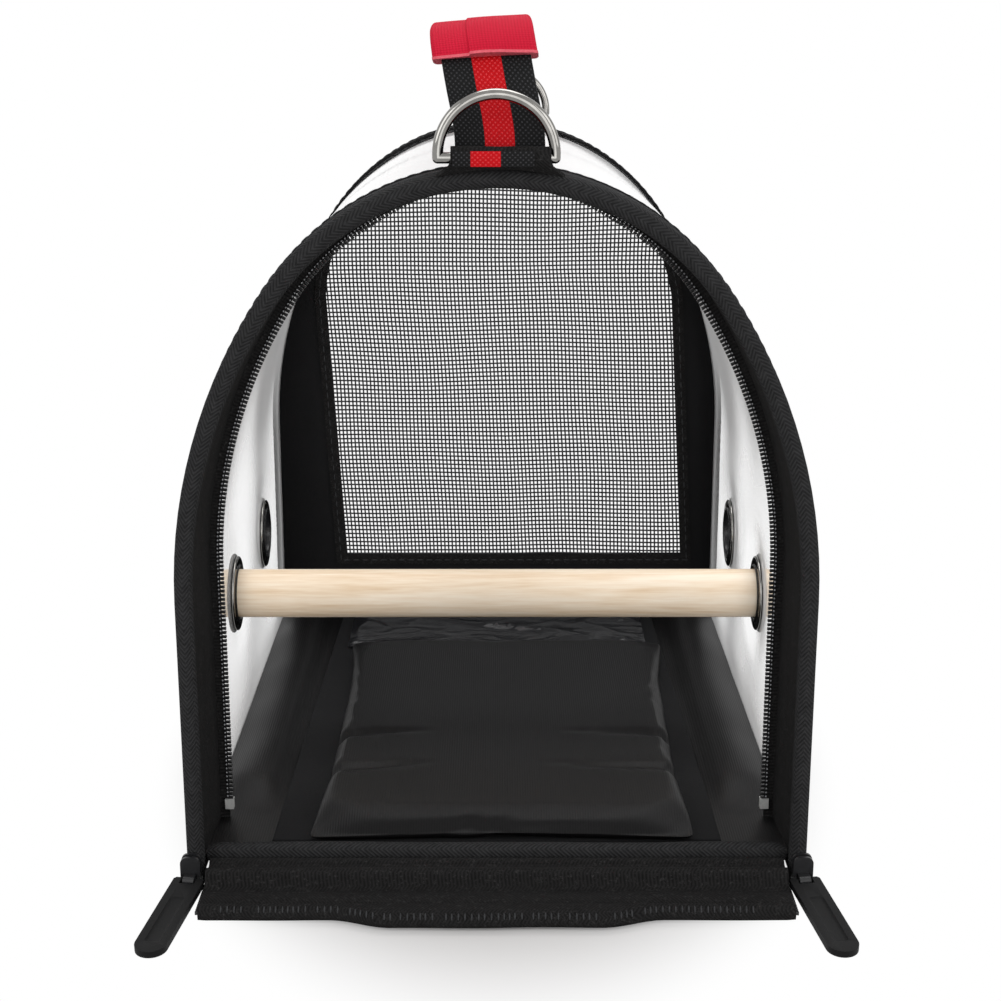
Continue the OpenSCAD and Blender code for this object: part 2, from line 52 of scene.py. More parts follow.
# the tunnel's outline; what the frame holds is read from it
tunnel = {
    "halfWidth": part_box("rear_border")[1][0],
    "height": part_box("rear_border")[1][2],
    "frontY": (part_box("mouth_binding")[0][1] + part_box("mouth_binding")[1][1]) / 2,
    "rearY": (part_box("rear_binding")[0][1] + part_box("rear_binding")[1][1]) / 2,
    "sideHeight": 105 * mm,      # straight part of each side
    "crownRadius": 94 * mm,
}
halfWidth, sideHeight = tunnel["halfWidth"], tunnel["sideHeight"]
frontY, rearY, crownRadius = tunnel["frontY"], tunnel["rearY"], tunnel["crownRadius"]
crownZ = tunnel["height"] - crownRadius
sideRadius = ((halfWidth ** 2 + (crownZ - sideHeight) ** 2 - crownRadius ** 2)
              / (2 * (halfWidth - crownRadius)))
sideTurn = math.atan2(crownZ - sideHeight, sideRadius - halfWidth)
sideArc = sideRadius * sideTurn
crownArc = crownRadius * (math.pi - 2 * sideTurn)
archLength = 2 * (sideHeight + sideArc) + crownArc


# place on the arch at a run from the right foot: x, z and the outward angle
def archPlace(run, inset=0.0):
    mirrored = run > archLength / 2
    run = min(run, archLength - run)
    if run <= sideHeight:
        x, z, turn = halfWidth, run, 0.0
    elif run <= sideHeight + sideArc:
        turn = (run - sideHeight) / sideRadius
        x = halfWidth - sideRadius + sideRadius * math.cos(turn)
        z = sideHeight + sideRadius * math.sin(turn)
    else:
        turn = sideTurn + (run - sideHeight - sideArc) / crownRadius
        x, z = crownRadius * math.cos(turn), crownZ + crownRadius * math.sin(turn)
    x, z = x - inset * math.cos(turn), z - inset * math.sin(turn)
    return (-x, z, math.pi - turn) if mirrored else (x, z, turn)


# the run of a point near the arch, and how far inside the outline it lies
def archRun(x, z):
    across = abs(x)
    if z <= sideHeight:
        run, inset = z, halfWidth - across
    else:
        dx, dz = across - (halfWidth - sideRadius), z - sideHeight
        turn = math.atan2(dz, dx)
        if turn <= sideTurn:
            run, inset = sideHeight + sideRadius * turn, sideRadius - math.hypot(dx, dz)
        else:
            turn = math.atan2(z - crownZ, across)
            run = sideHeight + sideArc + crownRadius * (turn - sideTurn)
            inset = crownRadius - math.hypot(across, z - crownZ)
    return (run if x > 0 else archLength - run), inset


# height of the arch over a place on X
def archTop(x, inset):
    across = abs(x)
    crownX = (crownRadius - inset) * math.cos(sideTurn)
    if across < crownX:
        return crownZ + math.sqrt((crownRadius - inset) ** 2 - across ** 2)
    reach = sideRadius - inset
    return sideHeight + math.sqrt(max(0, reach ** 2 - (across - halfWidth + sideRadius) ** 2))


# half the arch's width at a height
def archHalf(z, inset):
    if z <= sideHeight:
        return halfWidth - inset
    reach = sideRadius - inset
    if z <= sideHeight + reach * math.sin(sideTurn):
        return halfWidth - sideRadius + math.sqrt(reach ** 2 - (z - sideHeight) ** 2)
    return math.sqrt(max(0, (crownRadius - inset) ** 2 - (z - crownZ) ** 2))


def smooth(value, low, high):
    share = min(1, max(0, (value - low) / (high - low)))
    return share * share * (3 - 2 * share)


def noiseAt(x, y, z):
    return noise.noise(Vector((x, y, z)))


# the arch's outward direction at a place
def outwards(place):
    _, _, turn = archPlace(archRun(place.x, place.z)[0])
    return Vector((math.cos(turn), 0, math.sin(turn)))


# a node's middle on Y and Z
def boxMiddle(node):
    low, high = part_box(node)
    return (low[1] + high[1]) / 2, (low[2] + high[2]) / 2


def deselectAll():
    if bpy.context.object and bpy.context.object.mode != "OBJECT":
        bpy.ops.object.mode_set(mode="OBJECT")
    bpy.ops.object.select_all(action="DESELECT")


def makeActive(piece):
    deselectAll()
    piece.select_set(True)
    bpy.context.view_layer.objects.active = piece


def editPiece(piece, elements="VERT", action="SELECT"):
    makeActive(piece)
    bpy.ops.object.mode_set(mode="EDIT")
    bpy.ops.mesh.select_mode(type=elements)
    bpy.ops.mesh.select_all(action=action)


def extrudeBy(x=0.0, y=0.0, z=0.0):
    bpy.ops.mesh.extrude_region_move(TRANSFORM_OT_translate={"value": (x, y, z)})


# gives the new primitive its name and puts its place in its mesh
def newPiece(name):
    piece = bpy.context.object
    piece.name = name
    piece.data.name = name
    bpy.ops.object.transform_apply(location=True, rotation=True, scale=True)
    return piece


# one vertex drawn on through each point in turn; stays in edit mode, all selected
def traceProfile(name, points, closed=False):
    deselectAll()
    bpy.ops.mesh.primitive_plane_add(size=mm, location=points[0])
    piece = newPiece(name)
    editPiece(piece)
    bpy.ops.mesh.merge(type="CENTER")
    for here, there in zip(points, points[1:] + (points[:1] if closed else [])):
        extrudeBy(*(Vector(there) - Vector(here)))
    bpy.ops.mesh.select_all(action="SELECT")
    if closed:
        bpy.ops.mesh.remove_doubles(threshold=mm / 100)
    return piece


def climb(height, cuts):
    for _ in range(cuts):
        extrudeBy(z=height / cuts)


# runs the selected profile from the right foot over the arch to the left foot
def sweepArch(fromZ, legCuts=8, sideCuts=12, crownCuts=28):
    climb(sideHeight - fromZ, legCuts)
    for centre, turn, cuts in (
            ((halfWidth - sideRadius, 0, sideHeight), sideTurn, sideCuts),
            ((0, 0, crownZ), math.pi - 2 * sideTurn, crownCuts),
            ((sideRadius - halfWidth, 0, sideHeight), sideTurn, sideCuts)):
        bpy.ops.mesh.spin(steps=cuts, angle=turn, center=centre, axis=(0, 1, 0))
    climb(fromZ - sideHeight, legCuts)


def addModifier(piece, kind, **settings):
    makeActive(piece)
    modifier = piece.modifiers.new(kind.title(), kind)
    for name, value in settings.items():
        setattr(modifier, name, value)
    bpy.ops.object.modifier_apply(modifier=modifier.name)


# closes open ends, points the faces outwards and shades the piece
def closePiece(piece, fill=False, angle=40):
    editPiece(piece)
    bpy.ops.mesh.remove_doubles(threshold=mm / 100)
    if fill:
        bpy.ops.mesh.fill_holes(sides=0)
    bpy.ops.mesh.normals_make_consistent(inside=False)
    bpy.ops.object.mode_set(mode="OBJECT")
    bpy.ops.object.shade_smooth_by_angle(angle=math.radians(angle))
    return piece


# runs a closed profile of (inset, place on Y) over the arch from a height
def sweepStrip(name, profile, fromZ, cuts=(8, 12, 28), angle=40):
    strip = traceProfile(name, [(halfWidth - inset, y, fromZ) for inset, y in profile], closed=True)
    sweepArch(fromZ, *cuts)
    return closePiece(strip, fill=True, angle=angle)


# a block with bevelled edges
def makeBlock(name, centre, size, bevel, segments):
    deselectAll()
    bpy.ops.mesh.primitive_cube_add(size=1, location=centre)
    bpy.context.object.scale = size
    block = newPiece(name)
    editPiece(block)
    bpy.ops.mesh.bevel(offset=bevel, segments=segments, affect="EDGES")
    bpy.ops.object.mode_set(mode="OBJECT")
    return block


def joinPieces(name, parts):
    deselectAll()
    for part in parts:
        part.select_set(True)
    bpy.context.view_layer.objects.active = parts[0]
    if len(parts) > 1:
        bpy.ops.object.join()
    joined = bpy.context.object
    joined.name = name
    joined.data.name = name
    return joined


# a copy with its own mesh, moved by a matrix that goes into the mesh
def copyPiece(piece, name, matrix):
    twin = piece.copy()
    twin.data = piece.data.copy()
    twin.name = name
    bpy.context.scene.collection.objects.link(twin)
    twin.data.transform(matrix)
    if matrix.determinant() < 0:
        twin.data.flip_normals()
    return twin


def moveVertices(piece, rule):
    for vertex in piece.data.vertices:
        vertex.co = rule(vertex.co.copy())
    piece.data.update()


# UV in millimetres: u along the piece, v across it
def layWeave(piece, rule):
    layer = piece.data.uv_layers.get("weave") or piece.data.uv_layers.new(name="weave")
    places = [rule(vertex.co) for vertex in piece.data.vertices]
    for loop in piece.data.loops:
        u, v = places[loop.vertex_index]
        layer.data[loop.index].uv = (u / mm, v / mm)


def layAlongArch(piece):
    layWeave(piece, lambda place: (archRun(place.x, place.z)[0], place.y))


def finishPiece(piece, material, slotName, *nodes, body="carrier"):
    piece.data.materials.clear()
    piece.data.materials.append(material)
    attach(piece, body)
    if nodes:
        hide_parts(*nodes)
    return piece


def dressNode(name, material):
    for materialSlot in frame["nodes"][name].material_slots:
        materialSlot.material = material


def linear(hexColour):
    channels = [int(hexColour[i:i + 2], 16) / 255 for i in (1, 3, 5)]
    return [c / 12.92 if c <= 0.04045 else ((c + 0.055) / 1.055) ** 2.4 for c in channels] + [1.0]


# adds one node; inputs are sockets by name or number, settings are properties
def addNode(tree, kind, inputs=None, **settings):
    node = tree.nodes.new("ShaderNode" + kind)
    for name, value in settings.items():
        setattr(node, name, value)
    for name, value in (inputs or {}).items():
        socket = node.inputs[name]
        if isinstance(value, bpy.types.NodeSocket):
            tree.links.new(value, socket)
        else:
            socket.default_value = value
    return node


def startMaterial(name, **shader):
    material = bpy.data.materials.new(name)
    material.use_nodes = True
    tree = material.node_tree
    principled = tree.nodes["Principled BSDF"]
    for socket, value in shader.items():
        principled.inputs[socket.replace("_", " ")].default_value = value
    return material, tree, principled


def mathNode(tree, operation, first, second=0.0, third=0.0):
    return addNode(tree, "Math", {0: first, 1: second, 2: third}, operation=operation).outputs[0]


def objectPlace(tree):
    return addNode(tree, "TexCoord").outputs["Object"]


def noiseNode(tree, place, scale, detail, **inputs):
    inputs.update(Vector=place, Scale=scale, Detail=detail)
    return addNode(tree, "TexNoise", inputs).outputs[0]


# the weave's own coordinates in millimetres: along the piece and across it
def weaveAxes(tree):
    uv = addNode(tree, "UVMap", uv_map="weave")
    return addNode(tree, "SeparateXYZ", {0: uv.outputs[0]}).outputs


def mixColours(tree, factor, low, high):
    return addNode(tree, "Mix", {"Factor": factor, "A": low, "B": high}, data_type="RGBA").outputs["Result"]


# a regular rise and fall from 0 to 1 and back, one step long
def ripple(tree, value, step):
    return mathNode(tree, "DIVIDE", mathNode(tree, "PINGPONG", value, step), step)


def addBump(tree, principled, height, strength, depth):
    bump = addNode(tree, "Bump", {"Strength": strength, "Distance": depth, "Height": height})
    tree.links.new(bump.outputs[0], principled.inputs["Normal"])


# ridges of a herringbone tape: 0 in the grooves, 1 on the ridges
def herringbone(tree, pitch, band, lean=1.2):
    along, across, _ = weaveAxes(tree)
    column = mathNode(tree, "PINGPONG", across, band)
    return ripple(tree, mathNode(tree, "MULTIPLY_ADD", column, lean, along), pitch / 2)


# colour between two tones by a height, with slow wear on top, and a bump from that height; the tone follows
# the bump, raised parts lighter and low parts darker, so on the regular weaves this is a painted highlight
# on the ridges and painted shade in the grooves
def weaveInto(tree, principled, height, low, high, depth, wearScale=60, wear=0.25):
    worn = noiseNode(tree, objectPlace(tree), wearScale, 4.0)
    mixed = mathNode(tree, "MULTIPLY_ADD", worn, wear, mathNode(tree, "MULTIPLY", height, 1 - wear))
    colours = mixColours(tree, mixed, linear(low), linear(high))
    tree.links.new(colours, principled.inputs["Base Color"])
    addBump(tree, principled, height, 0.9, depth)
    return colours


# a material whose two tones and fine bump come from one noise of a scale and detail
def makeGrained(name, grain, low, high, depth, wearScale=60, distortion=0.0, **shader):
    material, tree, principled = startMaterial(name, **shader)
    height = noiseNode(tree, objectPlace(tree), *grain, Distortion=distortion)
    weaveInto(tree, principled, height, low, high, depth, wearScale)
    return material


# herringbone polyester tape, woven and folded: matt black with fine slanting ridges; the ridges are painted
# pale grey over near-black grooves, a painted highlight on each ridge and painted shade between them
def makeBindingTape():
    material, tree, principled = startMaterial("herringbonePolyesterTape", Roughness=0.85,
                                               Specular_IOR_Level=0.05)
    ridgeHighlight = herringbone(tree, 1.7, 2.6)     # drawn coarser than such a tape so that it shows
    # ridges painted pale, grooves dark: painted highlight and shade
    weaveInto(tree, principled, ridgeHighlight, "#080808", "#3b3b3c", 0.3 * mm, wearScale=420, wear=0.55)
    return material


# twill tape, woven: black with low slanting ridges and specks of lint; the ridges are painted a little
# lighter than the grooves, a painted highlight
def makeBandCloth():
    material, tree, principled = startMaterial("twillPolyesterTape", Roughness=0.88,
                                               Specular_IOR_Level=0.05)
    ridgeHighlight = herringbone(tree, 1.3, 7.0, 0.9)
    lint = noiseNode(tree, objectPlace(tree), 900.0, 3.0, Roughness=0.7)
    fuzz = addNode(tree, "MapRange", {0: lint, "From Min": 0.52, "From Max": 0.75}).outputs[0]
    height = mathNode(tree, "MAXIMUM", mathNode(tree, "MULTIPLY", ridgeHighlight, 0.3), fuzz)
    weaveInto(tree, principled, height, "#080808", "#3d3c3c", 0.25 * mm, wearScale=300, wear=0.2)
    return material


# satin-faced polyester over foam, quilted: softer black with a low sheen; the fine ribs are painted a
# little lighter than the hollows between them, a painted highlight
def makePadCloth():
    material, tree, principled = startMaterial("satinPolyesterCloth", Roughness=0.45,
                                               Specular_IOR_Level=0.11)
    ribHighlight = addNode(tree, "TexWave", {"Vector": objectPlace(tree), "Scale": 330.0, "Distortion": 0.6},
                  bands_direction="X").outputs["Fac"]
    weaveInto(tree, principled, ribHighlight, "#070707", "#141314", 0.05 * mm, wearScale=22, wear=0.5)
    return material


# flexible clear vinyl, calendered: clear face on, milky white at a low angle, with soft waves
def makeVinyl():
    material, tree, principled = startMaterial("calenderedClearVinyl", Roughness=0.12)
    principled.inputs["Base Color"].default_value = linear("#ffffff")
    addBump(tree, principled, noiseNode(tree, objectPlace(tree), 14.0, 1.0), 0.4, 1.2 * mm)
    glow = addNode(tree, "BsdfTranslucent", {"Color": linear("#ffffff")})
    sheet = addNode(tree, "MixShader", {0: 0.15, 1: principled.outputs[0], 2: glow.outputs[0]})
    clear = addNode(tree, "BsdfTransparent", {"Color": linear("#fdfdfd")})
    slope = addNode(tree, "Fresnel", {"IOR": 1.45})
    cover = addNode(tree, "MapRange", {0: slope.outputs[0], "From Min": 0.34, "From Max": 0.62,
                                       "To Min": 0.05, "To Max": 1.0}, interpolation_type="SMOOTHSTEP")
    faces = addNode(tree, "NewGeometry")
    milky = mathNode(tree, "MULTIPLY", cover.outputs[0],
                     mathNode(tree, "SUBTRACT", 1.0, faces.outputs["Backfacing"]))
    mixed = addNode(tree, "MixShader", {0: milky, 1: clear.outputs[0], 2: sheet.outputs[0]})
    tree.links.new(mixed.outputs[0], tree.nodes["Material Output"].inputs["Surface"])
    return material


# nickel-plated steel wire, polished: bright, faintly warm, with fine drawing marks
def makeNickel():
    material, tree, principled = startMaterial("polishedNickelPlate", Metallic=1.0, Roughness=0.16)
    marks = noiseNode(tree, objectPlace(tree), 240.0, 6.0)
    weaveInto(tree, principled, marks, "#5c5b59", "#a09e9a", 0.01 * mm)
    rough = addNode(tree, "MapRange", {0: marks, "To Min": 0.04, "To Max": 0.2})
    tree.links.new(rough.outputs[0], principled.inputs["Roughness"])
    return material


# beech dowel, turned and sanded: pale straw with long fine grain and small flecks
def makeDowel():
    material, tree, principled = startMaterial("sandedBeechDowel", Roughness=0.6, IOR=1.5)
    place = objectPlace(tree)
    along = addNode(tree, "Mapping", {"Vector": place, "Scale": (9.0, 190.0, 190.0)})
    grain = noiseNode(tree, along.outputs[0], 1.0, 5.0, Distortion=0.4)
    fine = addNode(tree, "Mapping", {"Vector": place, "Scale": (60.0, 900.0, 900.0)})
    flecks = noiseNode(tree, fine.outputs[0], 1.0, 3.0)
    blend = mathNode(tree, "MULTIPLY_ADD", flecks, 0.35, mathNode(tree, "MULTIPLY", grain, 0.65))
    tones = addNode(tree, "ValToRGB", {0: blend})
    ramp = tones.color_ramp
    ramp.elements[0].position, ramp.elements[0].color = 0.34, linear("#dfc3a0")
    ramp.elements[1].position, ramp.elements[1].color = 0.62, linear("#f7e8d3")
    ramp.elements.new(0.5).color = linear("#efdbc1")
    tree.links.new(tones.outputs[0], principled.inputs["Base Color"])
    addBump(tree, principled, flecks, 0.5, 0.06 * mm)
    return material


# polyester webbing, shuttle woven: black with a red centre stripe, small diamond floats; each raised float
# is painted lighter than the ground, grey on the black and pale red on the stripe, a painted highlight on
# the floats
def makeWebbing():
    material, tree, principled = startMaterial("shuttleWovenWebbing", Roughness=0.75,
                                               Specular_IOR_Level=0.12)
    along, across, _ = weaveAxes(tree)
    rising = ripple(tree, mathNode(tree, "ADD", along, across), 0.85)
    falling = ripple(tree, mathNode(tree, "SUBTRACT", along, across), 0.85)
    ribs = mathNode(tree, "POWER", mathNode(tree, "MULTIPLY", rising, falling), 2.4)
    # float tops painted lighter: painted highlight on the raised weave
    blacks = weaveInto(tree, principled, ribs, "#060606", "#545457", 0.3 * mm, wear=0.06)
    stripe = mathNode(tree, "LESS_THAN", mathNode(tree, "ABSOLUTE", across), 4.8)
    reds = mixColours(tree, ribs, linear("#b0060f"), linear("#ff5a60"))
    tree.links.new(mixColours(tree, stripe, blacks, reds), principled.inputs["Base Color"])
    return material


# red polyester canvas, woven: matt scarlet with a small square weave; the raised crossings are painted a
# lighter scarlet than the hollows, a painted highlight and shade on the weave
def makeRedCloth():
    material, tree, principled = startMaterial("wovenRedCanvas", Roughness=0.8,
                                               Specular_IOR_Level=0.08)
    along, across, _ = weaveAxes(tree)
    height = mathNode(tree, "ADD", mathNode(tree, "PINGPONG", along, 0.5),
                      mathNode(tree, "PINGPONG", across, 0.5))
    weaveInto(tree, principled, height, "#a00a22", "#c61836", 0.12 * mm)
    return material


bindingTape = makeBindingTape()
bandCloth = makeBandCloth()
padCloth = makePadCloth()
vinyl = makeVinyl()
nickel = makeNickel()
dowelWood = makeDowel()
webbing = makeWebbing()
redCloth = makeRedCloth()
# plain polyester cloth, woven: matt black with a faint soft grain
polyester = makeGrained("wovenPolyesterCloth", (1500, 2), "#0c0c0d", "#212122", 0.08 * mm,
                        Roughness=0.8, Specular_IOR_Level=0.08)
# coated lining, calendered: near black, shiny where it creases
lining = makeGrained("coatedLiningCloth", (70, 5), "#0b0b0c", "#1c1c1f", 0.9 * mm, 30, 1.2,
                     Roughness=0.26, Specular_IOR_Level=0.4)
# polyester monofilament, woven open: dark grey threads with a slight gloss
meshThread = makeGrained("openWovenPolyesterThread", (900, 2), "#1c1c1e", "#38393b", 0.03 * mm, 12,
                         Roughness=0.55, Specular_IOR_Level=0.3)
# spun polyester thread, twisted: dark grey, slightly lighter than the cloth
stitchThread = makeGrained("twistedPolyesterThread", (1500, 1), "#151516", "#3f4042", 0.05 * mm, 200,
                           Roughness=0.6, Specular_IOR_Level=0.2)
# sewing thread on the zip, spun: mid grey
paleThread = makeGrained("spunPolyesterThread", (1500, 1), "#77787b", "#a9aaad", 0.05 * mm, 200,
                         Roughness=0.55, Specular_IOR_Level=0.3)
# edge tape of the sleeve, knitted: pale red
redEdge = makeGrained("knittedRedEdging", (1100, 1), "#b02c40", "#d8606c", 0.08 * mm, 200, Roughness=0.8)
# nylon zip coil, moulded: dark grey with a wet gloss on each turn
coilNylon = makeGrained("mouldedNylonCoil", (300, 2), "#0e0e0f", "#222223", 0.04 * mm, 500,
                        Roughness=0.34, Specular_IOR_Level=0.4)
# soft moulded plastic: matt black, fine spark texture
pullPlastic = makeGrained("sparkMouldedPlastic", (1600, 2), "#090909", "#121213", 0.04 * mm, 80,
                          Roughness=0.6, Specular_IOR_Level=0.12)
# aluminium strip, pressed: pale satin metal
stopMetal = makeGrained("pressedAluminium", (900, 3), "#c9c9c7", "#f0f0ee", 0.02 * mm,
                        Metallic=0.7, Roughness=0.45)
# spring steel wire, drawn: dull grey metal
springWire = makeGrained("drawnSpringSteel", (400, 3), "#77797c", "#9a9c9f", 0.01 * mm,
                         Metallic=1.0, Roughness=0.38)
# zinc die casting, painted: satin black
paintedZinc = makeGrained("satinPaintedZinc", (700, 3), "#141415", "#242426", 0.03 * mm, 90,
                          Roughness=0.36, Specular_IOR_Level=0.35)
# brass, pressed and enamelled: glossier black
blackEnamel = makeGrained("enamelledBrass", (700, 3), "#121213", "#1f1f21", 0.03 * mm, 90,
                          Roughness=0.25, Specular_IOR_Level=0.35)
print("stage: materials made")


# a template copied to each matrix; the copies are joined and the template is removed
def repeatPiece(template, name, matrices):
    copies = [copyPiece(template, name, matrix) for matrix in matrices]
    bpy.data.objects.remove(template)
    return joinPieces(name, copies)


# frame at a run along the arch: x points inwards, y along the tunnel, z along the run
def archMatrix(run, inset, y):
    x, z, turn = archPlace(run, inset)
    inwards = Vector((-math.cos(turn), 0, -math.sin(turn)))
    rotation = Matrix((inwards, Vector((0, 1, 0)), inwards.cross(Vector((0, 1, 0))))).transposed()
    return Matrix.Translation((x, y, z)) @ rotation.to_4x4()


# one stitch of thick thread lying along Z, few faces
def makeStitch(name, length, thick):
    deselectAll()
    bpy.ops.mesh.primitive_uv_sphere_add(segments=8, ring_count=6, radius=0.5)
    stitch = newPiece(name)
    stitch.data.transform(Matrix.Diagonal((thick, thick, length, 1)))
    makeActive(stitch)
    bpy.ops.object.shade_smooth()
    return stitch


# a row of stitches along the arch between two runs
def stitchArch(name, inset, y, pitch, low, high, thick=0.55 * mm):
    count = int((high - low) / pitch)
    stitch = makeStitch(name, pitch * 0.72, thick)
    return repeatPiece(stitch, name, [archMatrix(low + (i + 0.5) * pitch, inset, y)
                                      for i in range(count)])


# a row of stitches along a closed outline
def stitchOutline(name, points, pitch):
    corners = [Vector(point) for point in points]
    matrices, walked = [], pitch / 2
    for here, there in zip(corners, corners[1:] + corners[:1]):
        way = there - here
        turn = way.to_track_quat("Z", "Y").to_matrix().to_4x4()
        while walked < way.length:
            matrices.append(Matrix.Translation(here + way.normalized() * walked) @ turn)
            walked += pitch
        walked -= way.length
    return repeatPiece(makeStitch(name, pitch * 0.72, 0.55 * mm), name, matrices)


binding = {"radius": 3.2 * mm, "centre": 3 * mm, "hem": 7.6 * mm, "hemTop": -0.3 * mm,
           "hemThick": 0.6 * mm, "roll": 325, "steps": 15, "wave": 0.16 * mm}


# rolled edge binding: a round roll over the hoop, with a flat hem lying on the border
def makeBinding(name, y, inward, node):
    radius, centre = binding["radius"], binding["centre"]
    lower = binding["hemTop"] + binding["hemThick"]
    profile = [(binding["hemTop"], y + inward * binding["hem"]),
               (binding["hemTop"], y + inward * radius)]
    for step in range(binding["steps"] + 1):
        turn = math.radians(binding["roll"]) * step / binding["steps"]
        profile.append((centre - radius * math.cos(turn), y - inward * radius * math.sin(turn)))
    profile += [(lower, y + inward * radius), (lower, y + inward * binding["hem"])]
    roll = sweepStrip(name, profile, 0, (12, 14, 34))

    def soften(place):
        lift = noise.noise(place * 55) * binding["wave"]
        return place + Vector((0, lift, lift)) if place.z > 4 * mm else place
    moveVertices(roll, soften)

    def weave(place):
        run, inset = archRun(place.x, place.z)
        away = (place.y - y) * inward
        if away > radius * 0.98 and inset < centre:
            return run, -away
        turn = math.atan2(-away, centre - inset)
        return run, (turn + math.tau if turn < -1.2 else turn) * radius
    layWeave(roll, weave)
    finishPiece(roll, bindingTape, "black_binding", node)


makeBinding("mouthBindingTape", frontY, 1, "mouth_binding")
makeBinding("rearBindingTape", rearY, -1, "rear_binding")
for hoopNode in ("front_hoop", "rear_hoop"):
    dressNode(hoopNode, springWire)
print("stage: bindings")

border = {"thick": 0.9 * mm, "outset": 0.1 * mm, "fold": 3 * mm, "foldThick": 0.35 * mm,
          "stitch": 4.7 * mm, "stitchIn": 2.2 * mm, "wave": 0.25 * mm}


# flat arched strip with a turned edge on the side away from the binding
def makeBorder(name, node, inward):
    low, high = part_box(node)
    bindingSide, openSide = (low[1], high[1]) if inward > 0 else (high[1], low[1])
    outer, inner = -border["outset"], border["thick"] - border["outset"]
    fold = openSide - inward * border["fold"]
    steps = 6
    profile = [(outer, bindingSide + (fold - bindingSide) * i / steps) for i in range(steps + 1)]
    profile += [(outer - border["foldThick"], fold + inward * 0.3 * mm),
                (outer - border["foldThick"], openSide - inward * 0.2 * mm), (outer, openSide),
                (inner, openSide), (inner, bindingSide)]
    strip = sweepStrip(name, profile, low[2], (14, 14, 34))

    def soften(place):
        lift = noise.noise(place * 38) * border["wave"]
        return place + Vector((lift, 0, lift)) if place.z > low[2] + mm else place
    moveVertices(strip, soften)
    layAlongArch(strip)
    finishPiece(strip, polyester, "black_polyester", node)
    for row, y in (("Edge", openSide - inward * border["stitchIn"]),
                   ("Root", bindingSide + inward * (binding["hem"] - binding["radius"] - 1.2 * mm))):
        inset = outer - (border["foldThick"] if row == "Edge" else 0.25 * mm)
        thread = stitchArch(name + row + "Stitches", inset, y, border["stitch"],
                            low[2], archLength - low[2])
        finishPiece(thread, stitchThread, "black_polyester")


makeBorder("frontBorderCloth", "front_border", 1)
makeBorder("rearBorderCloth", "rear_border", -1)
# the rear border's inner face, which shows through the mouth, has its own stitch row
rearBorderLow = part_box("rear_border")[0]
innerStitches = stitchArch("rearBorderInnerStitches", 1.4 * mm, rearBorderLow[1],
                           border["stitch"], 8 * mm, archLength - 8 * mm, 1.2 * mm)
finishPiece(innerStitches, stitchThread, "black_polyester")
print("stage: borders")

band = {"inset": 3.6 * mm, "lean": 1.6 * mm, "thick": 1.2 * mm, "steps": 12, "wave": 0.5 * mm,
        "crease": 0.35 * mm}


# the deep inner band behind the mouth's edge: one fold line, soft waves and a turned rear edge
def makeInnerBand():
    low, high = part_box("inner_band")
    front, rear = low[1], high[1]
    half = band["thick"] / 2
    line = []
    for step in range(band["steps"] + 1):
        share = step / band["steps"]
        crease = band["crease"] * math.exp(-((share - 0.46) / 0.05) ** 2)
        line.append((band["inset"] + band["lean"] * share - crease, front + (rear - front) * share))
    profile = [(inset - half, y) for inset, y in line] + [(inset + half, y) for inset, y in reversed(line)]
    cloth = sweepStrip("innerBandCloth", profile, low[2], (20, 14, 34), 60)

    def soften(place):
        share = (place.y - front) / (rear - front)
        rise = smooth(share, 0, 0.25) * smooth(share, 1.0, 0.8)
        lift = noiseAt(place.x * 22, place.y * 60, place.z * 22) * band["wave"] * rise
        return place + outwards(place) * lift
    moveVertices(cloth, soften)
    layAlongArch(cloth)
    finishPiece(cloth, bandCloth, "black_binding", "inner_band")


makeInnerBand()

zipLine = {"pitch": 1.6 * mm, "tooth": 1.2 * mm, "depth": 1.5 * mm, "reach": 2.1 * mm,
           "head": 1.1, "tuck": 1.5 * mm, "tapeOut": 1.0 * mm, "tapeIn": 3.3 * mm, "doorIn": 1.5 * mm}


# the run of each turn of coil, one every pitch
def coilRuns(run, end):
    runs = []
    while run < end:
        runs.append(run)
        run += zipLine["pitch"]
    return runs


# one turn of the zip's coil, lying across the tape with its rounded head inwards
def makeTooth(name):
    deselectAll()
    bpy.ops.mesh.primitive_cube_add(size=1)
    tooth = newPiece(name)
    tooth.data.transform(Matrix.Diagonal((zipLine["reach"] * 0.6, zipLine["depth"] * 0.8,
                                          zipLine["tooth"] * 0.8, 1)))
    editPiece(tooth, "FACE", "DESELECT")
    bpy.ops.object.mode_set(mode="OBJECT")
    for face in tooth.data.polygons:
        face.select = face.normal.x > 0.9
    bpy.ops.object.mode_set(mode="EDIT")
    extrudeBy(x=zipLine["reach"] * 0.2)
    bpy.ops.transform.resize(value=(1, zipLine["head"], zipLine["head"]))
    extrudeBy(x=zipLine["reach"] * 0.2)
    bpy.ops.mesh.select_all(action="SELECT")
    bpy.ops.mesh.bevel(offset=0.14 * mm, segments=1, affect="EDGES")
    bpy.ops.object.mode_set(mode="OBJECT")
    bpy.ops.object.shade_smooth()
    return tooth


frameCoil = {"low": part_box("zipper_coil")[0], "high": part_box("zipper_coil")[1]}
frameCoil["inset"] = halfWidth - frameCoil["high"][0] + (frameCoil["high"][1] - frameCoil["low"][1]) / 2
frameCoil["y"] = (frameCoil["high"][1] + frameCoil["low"][1]) / 2


